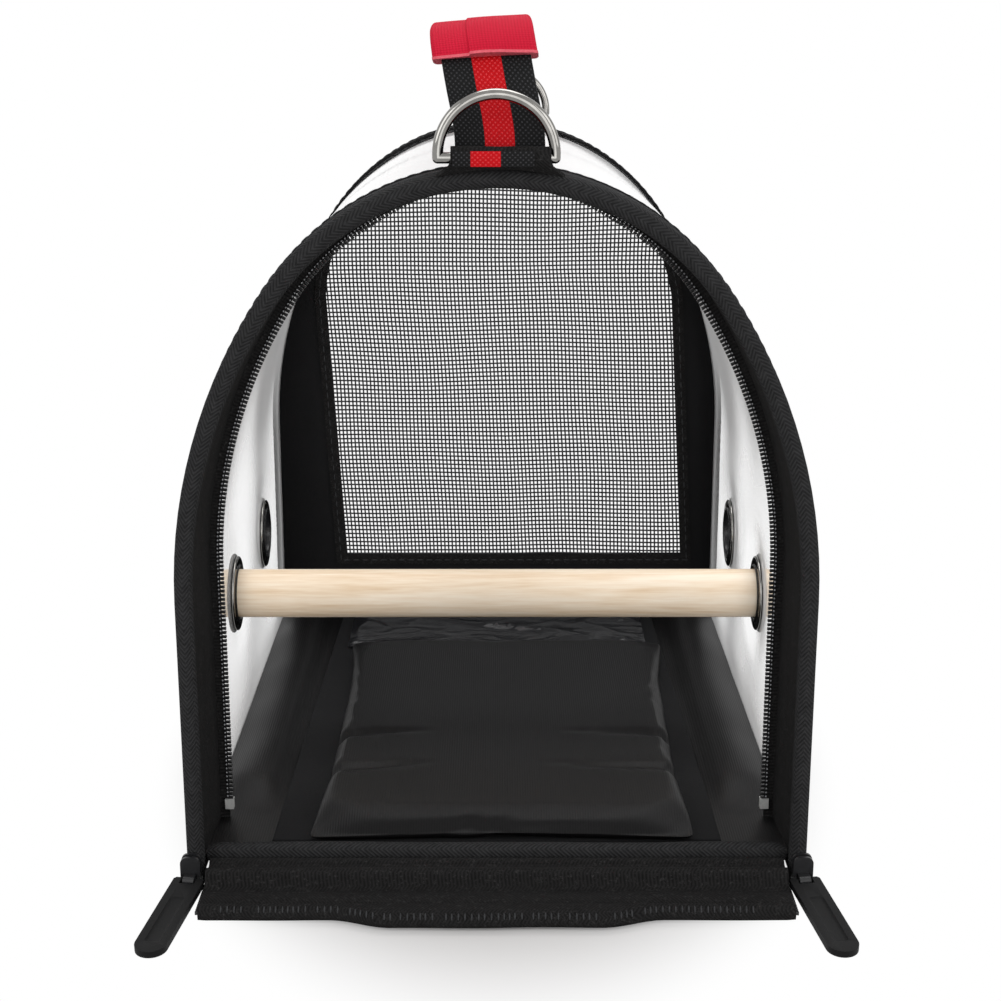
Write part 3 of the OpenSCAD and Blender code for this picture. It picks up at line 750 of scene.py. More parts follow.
# the zip's fixed half: tape, a turn of coil every pitch, and the thread that sews it down
def makeFrameZip():
    low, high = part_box("zipper_tape")
    outer, inner = halfWidth - high[0] - zipLine["tapeOut"], halfWidth - high[0] + zipLine["tapeIn"]
    corners = ((outer, low[1]), (inner, low[1]), (inner, high[1]), (outer, high[1]))
    tape = sweepStrip("zipTapeStrip", corners, low[2])
    layAlongArch(tape)
    finishPiece(tape, bandCloth, "zip_tape", "zipper_tape")
    runs = coilRuns(frameCoil["low"][2], archLength - frameCoil["low"][2])

    def coilInset(run):       # the turns sit a little deeper under the rim at the crown
        return frameCoil["inset"] - zipLine["tuck"] * (1 - smooth(abs(archPlace(run)[0]), 22 * mm, 50 * mm))
    tooth = makeTooth("coilTooth")
    teeth = repeatPiece(tooth, "zipCoilTurns",
                        [archMatrix(run, coilInset(run), frameCoil["y"]) for run in runs])
    finishPiece(teeth, coilNylon, "zip_coil", "zipper_coil")
    knot = makeStitch("coilThread", 0.75 * mm, 0.6 * mm)
    threads = repeatPiece(knot, "zipCoilThread", [
        archMatrix(run + zipLine["pitch"] / 2, coilInset(run) - 0.55 * mm, frameCoil["low"][1] + 0.1 * mm)
        for run in runs])
    finishPiece(threads, paleThread, "zip_tape")


makeFrameZip()
dressNode("zipper_stops", stopMetal)
print("stage: inner band and zip")

cover = {"inset": 0.9 * mm, "thick": 0.5 * mm, "rows": 26, "wave": 1.1 * mm, "sink": 0.7,
         "edge": 14 * mm, "flatTo": 17 * mm, "waveFrom": 30 * mm, "hole": 0.72}


# the clear sheet over the whole tunnel, with soft waves and a hole for each eyelet
def makeClearCover():
    low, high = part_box("clear_cover")
    rows = [low[1] + (high[1] - low[1]) * i / cover["rows"] for i in range(cover["rows"] + 1)]
    sheet = traceProfile("clearVinylSheet",
                         [(halfWidth - cover["inset"], y, low[2]) for y in rows])
    sweepArch(low[2], legCuts=16, sideCuts=16, crownCuts=36)
    closePiece(sheet)
    holeR = (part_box("spare_eyelets")[1][2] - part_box("spare_eyelets")[0][2]) / 2 * cover["hole"]
    holes = []
    for y, z in eyeletPlaces:
        deselectAll()
        bpy.ops.mesh.primitive_cylinder_add(vertices=32, radius=holeR, depth=3 * halfWidth,
                                            rotation=(0, math.pi / 2, 0), location=(0, y, z))
        holes.append(newPiece("coverHole"))
    cutter = joinPieces("coverHole", holes)

    def soften(place):
        edge = min(place.y - low[1], high[1] - place.y, place.z - low[2])
        eyelet = min(math.hypot(place.y - e[0], place.z - e[1]) for e in eyeletPlaces)
        share = smooth(edge, 0, cover["edge"]) * smooth(eyelet, cover["flatTo"], cover["waveFrom"])
        lift = (noiseAt(place.x * 9, place.y * 16, place.z * 9) - cover["sink"]) * cover["wave"]
        return place + outwards(place) * lift * share
    moveVertices(sheet, soften)
    addModifier(sheet, "SOLIDIFY", thickness=cover["thick"], offset=-1)
    closePiece(sheet)
    addModifier(sheet, "BOOLEAN", operation="DIFFERENCE", object=cutter, solver="EXACT")
    bpy.data.objects.remove(cutter)
    closePiece(sheet)
    finishPiece(sheet, vinyl, "clear_vinyl", "clear_cover")


eyeletPlaces = [boxMiddle(node) for node in ("perch_eyelets", "spare_eyelets")]
makeClearCover()
print("stage: clear cover")

weave = {"pitchX": 1.9 * mm, "pitchZ": 2.15 * mm, "thread": 0.42 * mm, "gap": 0.2 * mm, "cuts": 14,
         "wave": 1.1 * mm}


# straight thread of unit length along Z, cut so that it can bend
def makeRod(name):
    deselectAll()
    bpy.ops.mesh.primitive_circle_add(vertices=5, radius=weave["thread"])
    rod = newPiece(name)
    editPiece(rod)
    climb(1, weave["cuts"])
    return closePiece(rod, fill=True, angle=70)


# where a thread goes: the rod stretched and turned to run from one place to another
def threadMatrix(start, end):
    way = Vector(end) - Vector(start)
    return (Matrix.Translation(start) @ way.to_track_quat("Z", "Y").to_matrix().to_4x4()
            @ Matrix.Diagonal((1, 1, way.length, 1)))


# open mesh between a low edge and a curve: threads both ways, drawn a little out of line
def makeMesh(name, y, half, lowZ, highZ, topAt, halfAt):
    matrices = []
    count = int(2 * half / weave["pitchX"])
    for i in range(count + 1):
        x = (i - count / 2) * weave["pitchX"]
        matrices.append(threadMatrix((x, y + weave["gap"], lowZ), (x, y + weave["gap"], topAt(x))))
    z = lowZ + weave["pitchZ"] / 2
    while z < highZ:
        matrices.append(threadMatrix((-halfAt(z), y - weave["gap"], z), (halfAt(z), y - weave["gap"], z)))
        z += weave["pitchZ"]
    mesh = repeatPiece(makeRod(name), name, matrices)

    def draw(place):
        spot = Vector((place.x * 19, 0, place.z * 19))
        return place + Vector((noise.noise(spot), 0, noise.noise(spot + Vector((5, 0, 0))))) * weave["wave"]
    moveVertices(mesh, draw)
    return mesh


window = {"half": 86.5 * mm, "top": 7 * mm, "low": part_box("rear_mesh")[0][2], "lean": 8.6 * mm,
          "leanTop": 181 * mm, "tape": 4.6 * mm, "hold": 2.5 * mm, "thick": 0.7 * mm, "stitch": 4.7 * mm,
          "cuts": 28}
window["radius"] = crownRadius - window["top"]
panelLow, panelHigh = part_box("rear_panel")


# the soft panel hangs a little askew: its lower edge stands further to the right
def leanWindow(place):
    share = (place.z - window["low"]) / (window["leanTop"] - window["low"])
    return place + Vector((window["lean"] * (1 - min(1, max(0, share))), 0, 0))


# outline of the rear window, grown on every side: straight sides under the crown's own curve
def windowOutline(grow, y):
    half, radius = window["half"] + grow, window["radius"] + grow
    corner = math.acos(half / radius)
    points = [(half, y, window["low"] - grow)]
    for i in range(window["cuts"] + 1):
        turn = corner + (math.pi - 2 * corner) * i / window["cuts"]
        points.append((radius * math.cos(turn), y, crownZ + radius * math.sin(turn)))
    points.append((-half, y, window["low"] - grow))
    return [tuple(leanWindow(Vector(point))) for point in points]


# cloth round the rear window, its tape on both faces, the stitches and the mesh
def makeRearPanel():
    inset, thick = halfWidth - panelHigh.x, panelHigh.y - panelLow.y
    reach = archLength - 2 * panelLow.z
    outline = [archPlace(panelLow.z + reach * i / 96, inset) for i in range(97)]
    cloth = traceProfile("rearPanelCloth", [(x, panelLow.y, z) for x, z, _ in outline], closed=True)
    bpy.ops.mesh.edge_face_add()
    extrudeBy(y=thick)
    closePiece(cloth)
    hole = traceProfile("windowHole", windowOutline(0, panelLow.y - thick), closed=True)
    bpy.ops.mesh.edge_face_add()
    extrudeBy(y=3 * thick)
    closePiece(hole)
    addModifier(cloth, "BOOLEAN", operation="DIFFERENCE", object=hole, solver="EXACT")
    bpy.data.objects.remove(hole)
    closePiece(cloth)
    finishPiece(cloth, polyester, "black_polyester", "rear_panel")
    middle = (panelLow.y + panelHigh.y) / 2
    hold, radius = window["hold"], window["radius"]
    mesh = makeMesh("rearMeshThreads", middle, window["half"] + hold, window["low"] - hold,
                    crownZ + radius,
                    lambda x: crownZ + math.sqrt((radius + hold) ** 2 - x * x),
                    lambda z: min(window["half"] + hold,
                                  math.sqrt((radius + hold) ** 2 - max(0, z - crownZ) ** 2)))
    moveVertices(mesh, leanWindow)
    finishPiece(mesh, meshThread, "black_mesh", "rear_mesh")
    tapes, seams = [], []
    for face, outward in ((panelLow.y - 0.05 * mm, -1), (panelHigh.y + 0.05 * mm, 1)):
        rims = [traceProfile("rearWindowTape", windowOutline(grow, face), closed=True)
                for grow in (-0.8 * mm, window["tape"])]
        tape = joinPieces("rearWindowTape", rims)
        editPiece(tape)
        bpy.ops.mesh.bridge_edge_loops()
        extrudeBy(y=outward * window["thick"])
        tapes.append(closePiece(tape))
        seams.append(stitchOutline("rearWindowStitches",
                                   windowOutline(window["tape"] / 2, face + outward * window["thick"]),
                                   window["stitch"]))
    tape = joinPieces("rearWindowTape", tapes)
    layWeave(tape, lambda place: (place.z if abs(place.x) > window["half"] * 0.6 else place.x,
                                  place.x if abs(place.x) > window["half"] * 0.6 else place.z))
    finishPiece(tape, bandCloth, "black_binding")
    finishPiece(joinPieces("rearWindowStitches", seams), stitchThread, "black_binding")


makeRearPanel()
print("stage: rear panel and mesh")

eyelet = {"flange": 16.5 * mm, "hole": 10.5 * mm, "barrel": 11.3 * mm, "inner": 107.2 * mm,
          "steps": 56}
washer = {"hole": 11.6 * mm, "dish": 12.4 * mm, "bead": 14.9 * mm, "face": 107.3 * mm}


# spins a profile of (radius, place on X) round an eyelet's axis
def spinAboutX(name, profile, y, z, steps):
    ring = traceProfile(name, [(x, y, z + radius) for radius, x in profile], closed=True)
    bpy.ops.mesh.spin(steps=steps, angle=math.tau, center=(0, y, z), axis=(1, 0, 0))
    return closePiece(ring, angle=50)


def bead(centreR, centreX, radius, start, end, steps):
    return [(centreR + radius * math.cos(math.radians(start + (end - start) * i / steps)),
             centreX + radius * math.sin(math.radians(start + (end - start) * i / steps)))
            for i in range(steps + 1)]


# pressed eyelet: a domed flange outside, a barrel through the sheet and a rolled lip inside
def makeEyelets(name, node):
    y, z = eyeletPlaces[0 if node == "perch_eyelets" else 1]
    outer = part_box(node)[1][0]
    inner = eyelet["inner"]
    profile = ([(eyelet["hole"], inner + 0.5 * mm), (eyelet["hole"], outer - 0.3 * mm)]
               + bead(eyelet["hole"] + 1.6 * mm, outer - 1.0 * mm, 1.25 * mm, 140, 60, 5)
               + [(eyelet["flange"] - 1.2 * mm, outer - 0.45 * mm)]
               + bead(eyelet["flange"] - 0.6 * mm, outer - 1.0 * mm, 0.6 * mm, 60, -60, 4)
               + [(eyelet["barrel"], outer - 1.3 * mm), (eyelet["barrel"], inner)]
               + bead(eyelet["barrel"] + 0.1 * mm, inner + 0.2 * mm, 0.75 * mm, -20, -170, 5))
    right = spinAboutX(name, profile, y, z, eyelet["steps"])
    left = copyPiece(right, name, Matrix.Scale(-1, 4, (1, 0, 0)))
    pair = joinPieces(name, [right, left])
    finishPiece(pair, blackEnamel, "eyelet_black", node)


makeEyelets("perchEyeletRings", "perch_eyelets")
makeEyelets("spareEyeletRings", "spare_eyelets")


# bright washer on the inside of each eyelet, dished towards its hole
def makeWashers():
    washers = []
    for y, z in eyeletPlaces:
        face = washer["face"]
        profile = ([(washer["hole"], face + 0.2 * mm), (washer["dish"], face - 0.35 * mm)]
                   + bead(washer["bead"], face + 0.55 * mm, 0.6 * mm, -110, 70, 5)
                   + [(washer["hole"], face + 1.1 * mm)])
        right = spinAboutX("eyeletWasher", profile, y, z, eyelet["steps"])
        washers += [right, copyPiece(right, "eyeletWasher", Matrix.Scale(-1, 4, (1, 0, 0)))]
    finishPiece(joinPieces("eyeletWasherRings", washers), nickel, "washer_nickel", "eyelet_washers")


makeWashers()
dressNode("perch", dowelWood)
print("stage: eyelets and perch")

pad = {"voxel": 2.7 * mm, "pressure": 4, "swell": 4 * mm, "shrink": 1.6 * mm, "frames": 20,
       "droop": 4.2 * mm, "ripple": 0.6 * mm, "ridge": 0.6, "edgeWave": 0.7 * mm,
       "wider": 1.05, "splay": 0.09,
       "creases": ((-55 * mm, 2.4 * mm, 3.5 * mm), (-89 * mm, 3.0 * mm, 3.3 * mm))}    # y, width, depth


# foam pad in its cloth cover: swollen by simulation, then creased across its front half
def makePad():
    low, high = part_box("floor_pad")
    size = high - low
    shrunk = (size.x - 2 * pad["shrink"], size.y - 2 * pad["shrink"], size.z - pad["shrink"])
    cushion = makeBlock("floorPadCushion", (low + high) / 2, shrunk, 2 * mm, 3)
    addModifier(cushion, "REMESH", mode="VOXEL", voxel_size=pad["voxel"])
    start = [vertex.co.copy() for vertex in cushion.data.vertices]
    makeActive(cushion)
    cloth = cushion.modifiers.new("Cloth", "CLOTH")
    cloth.settings.use_pressure = True
    cloth.settings.uniform_pressure_force = pad["pressure"]
    cloth.settings.effector_weights.gravity = 0
    for moment in range(1, pad["frames"] + 1):
        bpy.context.scene.frame_set(moment)
    bpy.ops.object.modifier_apply(modifier=cloth.name)
    bpy.context.scene.frame_set(1)
    centre = (low + high) / 2
    for vertex, home in zip(cushion.data.vertices, start):
        move = vertex.co - home
        if move.length > pad["swell"]:
            move *= pad["swell"] / move.length
        vertex.co = home + move

    def dress(place):
        top = smooth(place.z, centre.z - mm, high.z)
        lift = pad["ripple"] * noiseAt(place.x * 30, place.y * 30, 0)
        for y, width, depth in pad["creases"]:
            bow = y + 4 * mm * math.cos(place.x * 24) + 2 * mm * noiseAt(place.x * 40, y, 0)
            deep = depth * (0.25 + 0.75 * smooth(abs(place.x), 8 * mm, 60 * mm))
            lift -= deep * math.exp(-((place.y - bow) / width) ** 2)
            lift += deep * pad["ridge"] * math.exp(-((place.y - bow - 2.2 * width) / (1.4 * width)) ** 2)
        lift -= pad["droop"] * (1 - smooth(place.y, low.y, low.y + 26 * mm))
        place.z = max(low.z + 0.1 * mm, min(place.z + lift * top, high.z + 2.2 * mm))
        along = (place.y - low.y) / size.y
        if place.x > 0:       # it lies wider to the right, more so at the back
            place.x *= pad["wider"] + pad["splay"] * along
        place.x += pad["edgeWave"] * noiseAt(place.y * 45, 1, 1) * abs(place.x) / high.x
        place.y = max(low.y - 0.3 * mm, min(place.y, high.y + 0.8 * mm))
        return place
    moveVertices(cushion, dress)
    addModifier(cushion, "SUBSURF", levels=1, render_levels=1)
    makeActive(cushion)
    bpy.ops.object.shade_smooth()
    finishPiece(cushion, padCloth, "pad_fabric", "floor_pad", body="pad")


makePad()
print("stage: floor pad")


liner = {"columns": 110, "rows": 52, "lift": 1.1 * mm, "fold": 2.6 * mm, "crease": 0.7 * mm,
         "thick": 0.4 * mm, "slackX": 4 * mm, "slackY": 6 * mm}


# loose lining behind the pad, crumpled into long folds
def makeLiner():
    low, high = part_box("floor_liner")
    deselectAll()
    bpy.ops.mesh.primitive_grid_add(
        x_subdivisions=liner["columns"], y_subdivisions=liner["rows"], size=1,
        location=((low.x + high.x) / 2, (low.y + high.y) / 2, low.z + liner["lift"]))
    bpy.context.object.scale = (high.x - low.x, high.y - low.y, 1)
    cloth = newPiece("loose_liner_cloth")

    def crumple(place):
        share = Vector((place.x * 20, place.y * 52, 0.3))
        ridge = 1 - abs(noise.noise(share)) * 2.2
        fine = 1 - abs(noise.noise(share * 2.6)) * 2
        edge = smooth(min(place.x - low.x, high.x - place.x, place.y - low.y, high.y - place.y), 0, 6 * mm)
        place.z += (liner["fold"] * ridge ** 3 + liner["crease"] * fine ** 3) * (0.35 + 0.65 * edge)
        return place
    moveVertices(cloth, crumple)
    addModifier(cloth, "SOLIDIFY", thickness=liner["thick"], offset=-1)
    closePiece(cloth, angle=80)
    finishPiece(cloth, lining, "liner_film", "floor_liner")


makeLiner()

# the floor cloth's section from one edge: across in mm, thickness in mm, share of the fold
floorCloth = {"boardFront": 82 * mm, "boardRear": 77 * mm, "fold": 7.5 * mm, "steps": 64, "wave": 1.1 * mm,
              "section": ((0, 0.3, 0), (1, 2.4, 0.2), (4, 1.5, 0.5), (8, 1.5, 0.85), (13, 1.5, 1),
                          (18, 1.5, 0.95), (22, 1.5, 0.7), (24.5, 1.5, 0.1), (30, 1.5, 0))}


# thin board in its cloth cover, a little narrower towards the back
def makeBoard():
    low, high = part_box("base_board")
    size = (2 * floorCloth["boardFront"], high.y - low.y, high.z - low.z)
    board = makeBlock("coveredBaseBoard", (low + high) / 2, size, 0.8 * mm, 3)
    narrow = floorCloth["boardRear"] / floorCloth["boardFront"]

    def taper(place):
        share = (place.y - low.y) / (high.y - low.y)
        return Vector((place.x * (1 + (narrow - 1) * share), place.y, place.z))
    moveVertices(board, taper)
    closePiece(board)
    finishPiece(board, polyester, "black_polyester", "base_board")


# cloth floor of the tunnel: flat under the board, with a soft fold along each side
def makeFloorCloth():
    low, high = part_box("bottom_panel")
    half = high.x
    section = [(-half + x * mm, z, fold) for x, z, fold in floorCloth["section"]]
    top = section + [(-x, z, fold) for x, z, fold in reversed(section)]
    profile = [(x, low.y, low.z + z * mm) for x, z, _ in top]
    profile += [(half, low.y, low.z), (-half, low.y, low.z)]
    cloth = traceProfile("floorClothPanel", profile, closed=True)
    for _ in range(floorCloth["steps"]):
        extrudeBy(y=(high.y - low.y) / floorCloth["steps"])
    closePiece(cloth, fill=True, angle=70)

    def puff(place):
        if place.z < low.z + 0.2 * mm:
            return place
        _, _, fold = min(top, key=lambda t: abs(t[0] - place.x))
        rise = smooth(place.y, -108 * mm, -80 * mm) * (0.8 + 0.2 * smooth(place.y, 0, 90 * mm))
        wave = 1 + 0.25 * noiseAt(place.x * 12, place.y * 26, 4)
        place.z += floorCloth["fold"] * fold * rise * wave
        place.x += floorCloth["wave"] * fold * noiseAt(3, place.y * 30, 1)
        return place
    moveVertices(cloth, puff)
    finishPiece(cloth, padCloth, "black_polyester", "bottom_panel")


makeBoard()
makeFloorCloth()
print("stage: liner, board and floor cloth")

joints = {joint["name"]: joint for joint in frame["joints"]}
hemFold, doorFold = Vector(joints["hem_fold"]["pos_m"]), Vector(joints["door_fold"]["pos_m"])
hemLength = (doorFold - hemFold).length
closedTurnZ = hemFold.z + hemLength
doorSink = doorFold.z - (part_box("door_mesh")[0][2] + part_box("door_mesh")[1][2]) / 2
doorY = hemFold.y + doorSink      # mid-plane of the closed door
# takes what is built as the closed door to where the open door lies, under the base
doorOpened = (Matrix.Translation(doorFold) @ Matrix.Rotation(-math.pi / 2, 4, "X")
              @ Matrix.Translation((0, -hemFold.y, -closedTurnZ)))

lip = {"rollR": 2.5 * mm, "turnR": 2.0 * mm, "thick": 1.3 * mm, "steps": 72, "wave": 0.8 * mm,
       "rollFrom": 235, "rollTurn": 235, "rollCuts": 12,
       "folds": ((0.12, 0.7), (0.18, 1.1), (0.24, 2.3), (0.3, 3.4), (0.36, 4.0), (0.42, 3.5),
                 (0.455, 1.6), (0.49, -0.9), (0.57, -1.6), (0.67, -0.8), (0.75, 0.2), (0.85, 0.5),
                 (0.93, 0.4), (1.0, 0.1))}       # share of the hem's depth, lift in mm
# the welt's section: place on Y from the door's edge in mm, height in mm, share of the bulge
welt = {"from": 36 * mm, "to": 57 * mm, "bulge": 5.2 * mm, "pitch": 2 * mm,
        "left": -101.9 * mm, "right": 101.9 * mm, "seamIn": 8 * mm,
        "section": ((4.0, 5.0, 0), (2.4, 5.9, 0), (0.6, 5.8, 0.5), (-0.7, 4.9, 1), (-1.2, 3.0, 1),
                    (-0.8, 1.2, 1), (0.8, 0.5, 0.5), (4.0, 0.6, 0))}
sill = {"steps": 20, "squareness": 0.72, "pinch": 0.62, "wave": 0.5 * mm}


# extrudes the selected outline across X in even steps
def drawAcross(width, steps):
    for _ in range(steps):
        extrudeBy(x=width / steps)


# sill roll across the mouth: a soft padded roll with rounded ends
def makeSill():
    low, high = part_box("front_sill")
    centre, size = (low + high) / 2, high - low
    outline = []
    for step in range(sill["steps"]):
        turn = math.tau * step / sill["steps"]
        y = math.copysign(abs(math.cos(turn)) ** sill["squareness"], math.cos(turn)) * size.y / 2
        z = math.copysign(abs(math.sin(turn)) ** sill["squareness"], math.sin(turn)) * size.z / 2
        outline.append((low.x, centre.y + y, centre.z + z))
    roll = traceProfile("sillRoll", outline, closed=True)
    drawAcross(size.x, lip["steps"])
    closePiece(roll, fill=True, angle=60)

    def soften(place):
        end = min(place.x - low.x, high.x - place.x)
        pinch = sill["pinch"] + 0.38 * smooth(end, -0.5 * mm, 4.5 * mm)
        wave = sill["wave"] * noiseAt(place.x * 26, 0, place.z * 40)
        return Vector((place.x, centre.y + (place.y - centre.y) * pinch + wave,
                       centre.z + (place.z - centre.z) * pinch + wave * 0.6))
    moveVertices(roll, soften)
    layWeave(roll, lambda place: (place.x, math.atan2(place.z - centre.z, centre.y - place.y) * size.y / 2))
    finishPiece(roll, bindingTape, "black_binding", "front_sill")


# hem of the door: a roll at its first fold, a raised fold, a valley and a flat strip to the second fold
def makeHem():
    low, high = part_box("door_hem")
    slope = (doorFold - hemFold).normalized()
    normal = Vector((0, slope.z, -slope.y))
    half, reach = lip["thick"] / 2, hemLength - lip["turnR"] - 0.1 * mm
    line = [hemFold + slope * reach * share + normal * lift * mm for share, lift in lip["folds"]]
    outline = [place + normal * half for place in line]
    outline += [place - normal * half for place in reversed(line)]
    for step in range(lip["rollCuts"] + 1):      # round the roll: under it, over its far side and on top
        turn = math.radians(lip["rollFrom"] + lip["rollTurn"] * step / lip["rollCuts"])
        outline.append(hemFold + Vector((0, -math.cos(turn), math.sin(turn))) * lip["rollR"])
    cloth = traceProfile("doorHemCloth", [(low.x, place.y, place.z) for place in outline], closed=True)
    drawAcross(high.x - low.x, lip["steps"])
    closePiece(cloth, fill=True, angle=55)

    def soften(place):
        share = smooth((place - hemFold).dot(slope), 4 * mm, 14 * mm)
        lift = lip["wave"] * noiseAt(place.x * 17, place.y * 20, 3.1) * share
        return place + normal * lift
    moveVertices(cloth, soften)
    layWeave(cloth, lambda place: (place.x, (place - hemFold).dot(slope) + place.z * 0.5))
    finishPiece(cloth, bandCloth, "black_binding", "door_hem", body="hem")


# how far the door's lower edge bulges forward at a place on X
def weltBulge(x):
    share = 1 - smooth(abs(x), welt["from"], welt["to"])
    return welt["bulge"] * share + 0.9 * mm * noiseAt(x * 30, 2, 8)


# soft welt along the door's second fold, with its puckered seam
def makeWelt():
    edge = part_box("door_border")[0].y
    left, right, section = welt["left"], welt["right"], welt["section"]
    cloth = traceProfile("doorWelt", [(left, edge + y * mm, z * mm) for y, z, _ in section], closed=True)
    drawAcross(right - left, lip["steps"])
    closePiece(cloth, fill=True, angle=60)

    def bulge(place):
        _, _, share = min(section, key=lambda spot: math.hypot(edge + spot[0] * mm - place.y,
                                                               spot[1] * mm - place.z))
        end = smooth(min(place.x - left, right - place.x), -1 * mm, 3 * mm)
        return place - Vector((0, (weltBulge(place.x) - (1 - end) * 0.5 * mm) * share, 0))
    moveVertices(cloth, bulge)
    layWeave(cloth, lambda place: (place.x, place.z - place.y))
    finishPiece(cloth, bandCloth, "black_binding", body="door")
    random.seed(5)
    lean = Matrix.Rotation(math.radians(-35), 4, "X")
    places, x = [], left + welt["seamIn"]
    while x < right - welt["seamIn"]:
        if random.random() < 0.8:
            place = Vector((x, edge - 0.35 * mm - weltBulge(x), 5.15 * mm))
            places.append(Matrix.Translation(place) @ lean)
        x += welt["pitch"] * random.uniform(0.85, 1.2)
    ribs = repeatPiece(makeStitch("weltPuckers", 2.4 * mm, 0.6 * mm), "weltPuckers", places)
    finishPiece(ribs, stitchThread, "black_binding", body="door")


makeSill()
makeHem()
makeWelt()
print("stage: sill and hem")


# the door's window tape: inset from the window's edge in mm, distance from the door's middle in mm
door = {"tape": ((-4.5, 1.15), (-4.5, 1.5), (0.3, 1.6), (0.8, 1.2), (0.8, 0.7), (0, 0.7)),
        "zipHalf": 0.3 * mm, "zipUnder": 0.6 * mm, "seamIn": 2.5 * mm, "seamOut": 1.2 * mm,
        "seamFoot": 4 * mm, "coilWidth": 0.92}


def finishDoorPiece(piece, *finish):
    piece.data.transform(doorOpened)
    finishPiece(piece, *finish, body="door")


# the door: its border keeps its CAD form, with a window tape, threads, tape and coil of its own
def makeDoor():
    dressNode("door_border", polyester)
    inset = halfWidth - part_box("door_mesh")[1][0]
    lowZ = closedTurnZ + (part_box("door_mesh")[0][1] - doorFold.y)
    parts = []
    hold = inset - window["hold"]
    mesh = makeMesh("doorMeshThreads", doorY, halfWidth - hold, lowZ - window["hold"],
                    tunnel["height"] - inset, lambda x: archTop(x, hold), lambda z: archHalf(z, hold))
    finishDoorPiece(mesh, meshThread, "black_mesh", "door_mesh")
    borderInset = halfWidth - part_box("door_border")[1][0]
    for side in (1, -1):
        profile = [(inset + i * mm, doorY + side * (y * mm)) for i, y in door["tape"]]
        parts.append(sweepStrip("doorWindowTape", profile, lowZ))
    windowTape = joinPieces("doorWindowTape", parts)
    layWeave(windowTape, lambda place: archRun(place.x, place.z))
    finishDoorPiece(windowTape, bindingTape, "black_binding")
    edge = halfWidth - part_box("door_tape")[1][0]
    root, zipHalf = borderInset + door["zipUnder"], door["zipHalf"]
    tape = sweepStrip("doorZipTape", ((edge, doorY - zipHalf), (root, doorY - zipHalf),
                                      (root, doorY + zipHalf), (edge, doorY + zipHalf)), closedTurnZ)
    layAlongArch(tape)
    finishDoorPiece(tape, bandCloth, "zip_tape", "door_tape")
    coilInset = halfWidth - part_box("door_coil")[1][0] + zipLine["doorIn"]
    runs = coilRuns(closedTurnZ + zipLine["pitch"] / 2, archLength - closedTurnZ)
    tooth = makeTooth("doorTooth")
    tooth.data.transform(Matrix.Scale(-door["coilWidth"], 4, (1, 0, 0)))
    tooth.data.flip_normals()
    teeth = repeatPiece(tooth, "doorCoilTurns", [archMatrix(r, coilInset, doorY) for r in runs])
    finishDoorPiece(teeth, coilNylon, "zip_coil", "door_coil")
    foot = closedTurnZ + door["seamFoot"]
    stitches = stitchArch("doorBorderStitches", borderInset + door["seamIn"], doorY - door["seamOut"],
                          border["stitch"], foot, archLength - closedTurnZ - door["seamFoot"])
    finishDoorPiece(stitches, stitchThread, "black_polyester")


makeDoor()
print("stage: door")

strapLow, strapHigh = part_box("handle_strap")
handle = {"width": strapHigh.x - strapLow.x, "thick": 3 * mm, "half": strapHigh.y, "bend": 34 * mm,
          "spring": 257 * mm, "top": 296 * mm, "lean": 7 * mm, "aside": 1.2 * mm,
          "roll": math.radians(5), "hump": 4 * mm, "corner": 0.9 * mm, "leanY": (-150 * mm, 50 * mm),
          "humpY": (40 * mm, 118 * mm), "humpZ": (272 * mm, 290 * mm)}
handle["in"] = handle["half"] - handle["bend"]
handle["climb"] = handle["top"] - handle["spring"]
handle["topR"] = ((handle["in"] ** 2 + handle["climb"] ** 2 - handle["bend"] ** 2)
                  / (2 * (handle["climb"] - handle["bend"])))
handle["turn"] = math.atan2(handle["in"], handle["topR"] - handle["climb"])
handle["whole"] = 2 * (handle["bend"] * (math.pi / 2 - handle["turn"]) + handle["topR"] * handle["turn"])


# runs the selected outline over the front bend, the long top and the rear bend
def sweepHandle(skip, bendCuts, topCuts):
    bend = math.pi / 2 - handle["turn"] - skip
    for centre, turn, cuts in (((0, -handle["in"], handle["spring"]), bend, bendCuts),
                               ((0, 0, handle["top"] - handle["topR"]), 2 * handle["turn"], topCuts),
                               ((0, handle["in"], handle["spring"]), bend, bendCuts)):
        bpy.ops.mesh.spin(steps=cuts, angle=turn, center=centre, axis=(1, 0, 0))


# distance along the handle from its front leg, and depth under its outer face
def handleRun(place):
    front = place.y < 0
    y = abs(place.y)
    if place.z < handle["spring"]:
        run, depth = place.z - handle["spring"], handle["half"] - y
    else:
        turn = math.atan2(place.z - handle["spring"], y - handle["in"])
        if y > handle["in"] and turn < math.pi / 2 - handle["turn"]:
            run = handle["bend"] * turn
            depth = handle["bend"] - math.hypot(y - handle["in"], place.z - handle["spring"])
        else:
            drop = place.z - handle["top"] + handle["topR"]
            turn = math.atan2(y, drop)
            run = (handle["bend"] * (math.pi / 2 - handle["turn"])
                   + handle["topR"] * (handle["turn"] - turn))
            depth = handle["topR"] - math.hypot(y, drop)
    return (run if front else handle["whole"] - run), depth


# the handle sits a little askew: its front half leans and rolls to the left
def leanHandle(place):
    front = smooth(-place.y, *handle["leanY"])
    share = smooth(place.z, handle["spring"], handle["top"] + 4 * mm) * front
    turn = handle["roll"] * share
    hump = handle["hump"] * smooth(-place.y, *handle["humpY"]) * smooth(place.z, *handle["humpZ"])
    return Vector((place.x + handle["aside"] * front - handle["lean"] * share, place.y,
                   place.z + hump + place.x * math.tan(turn)))


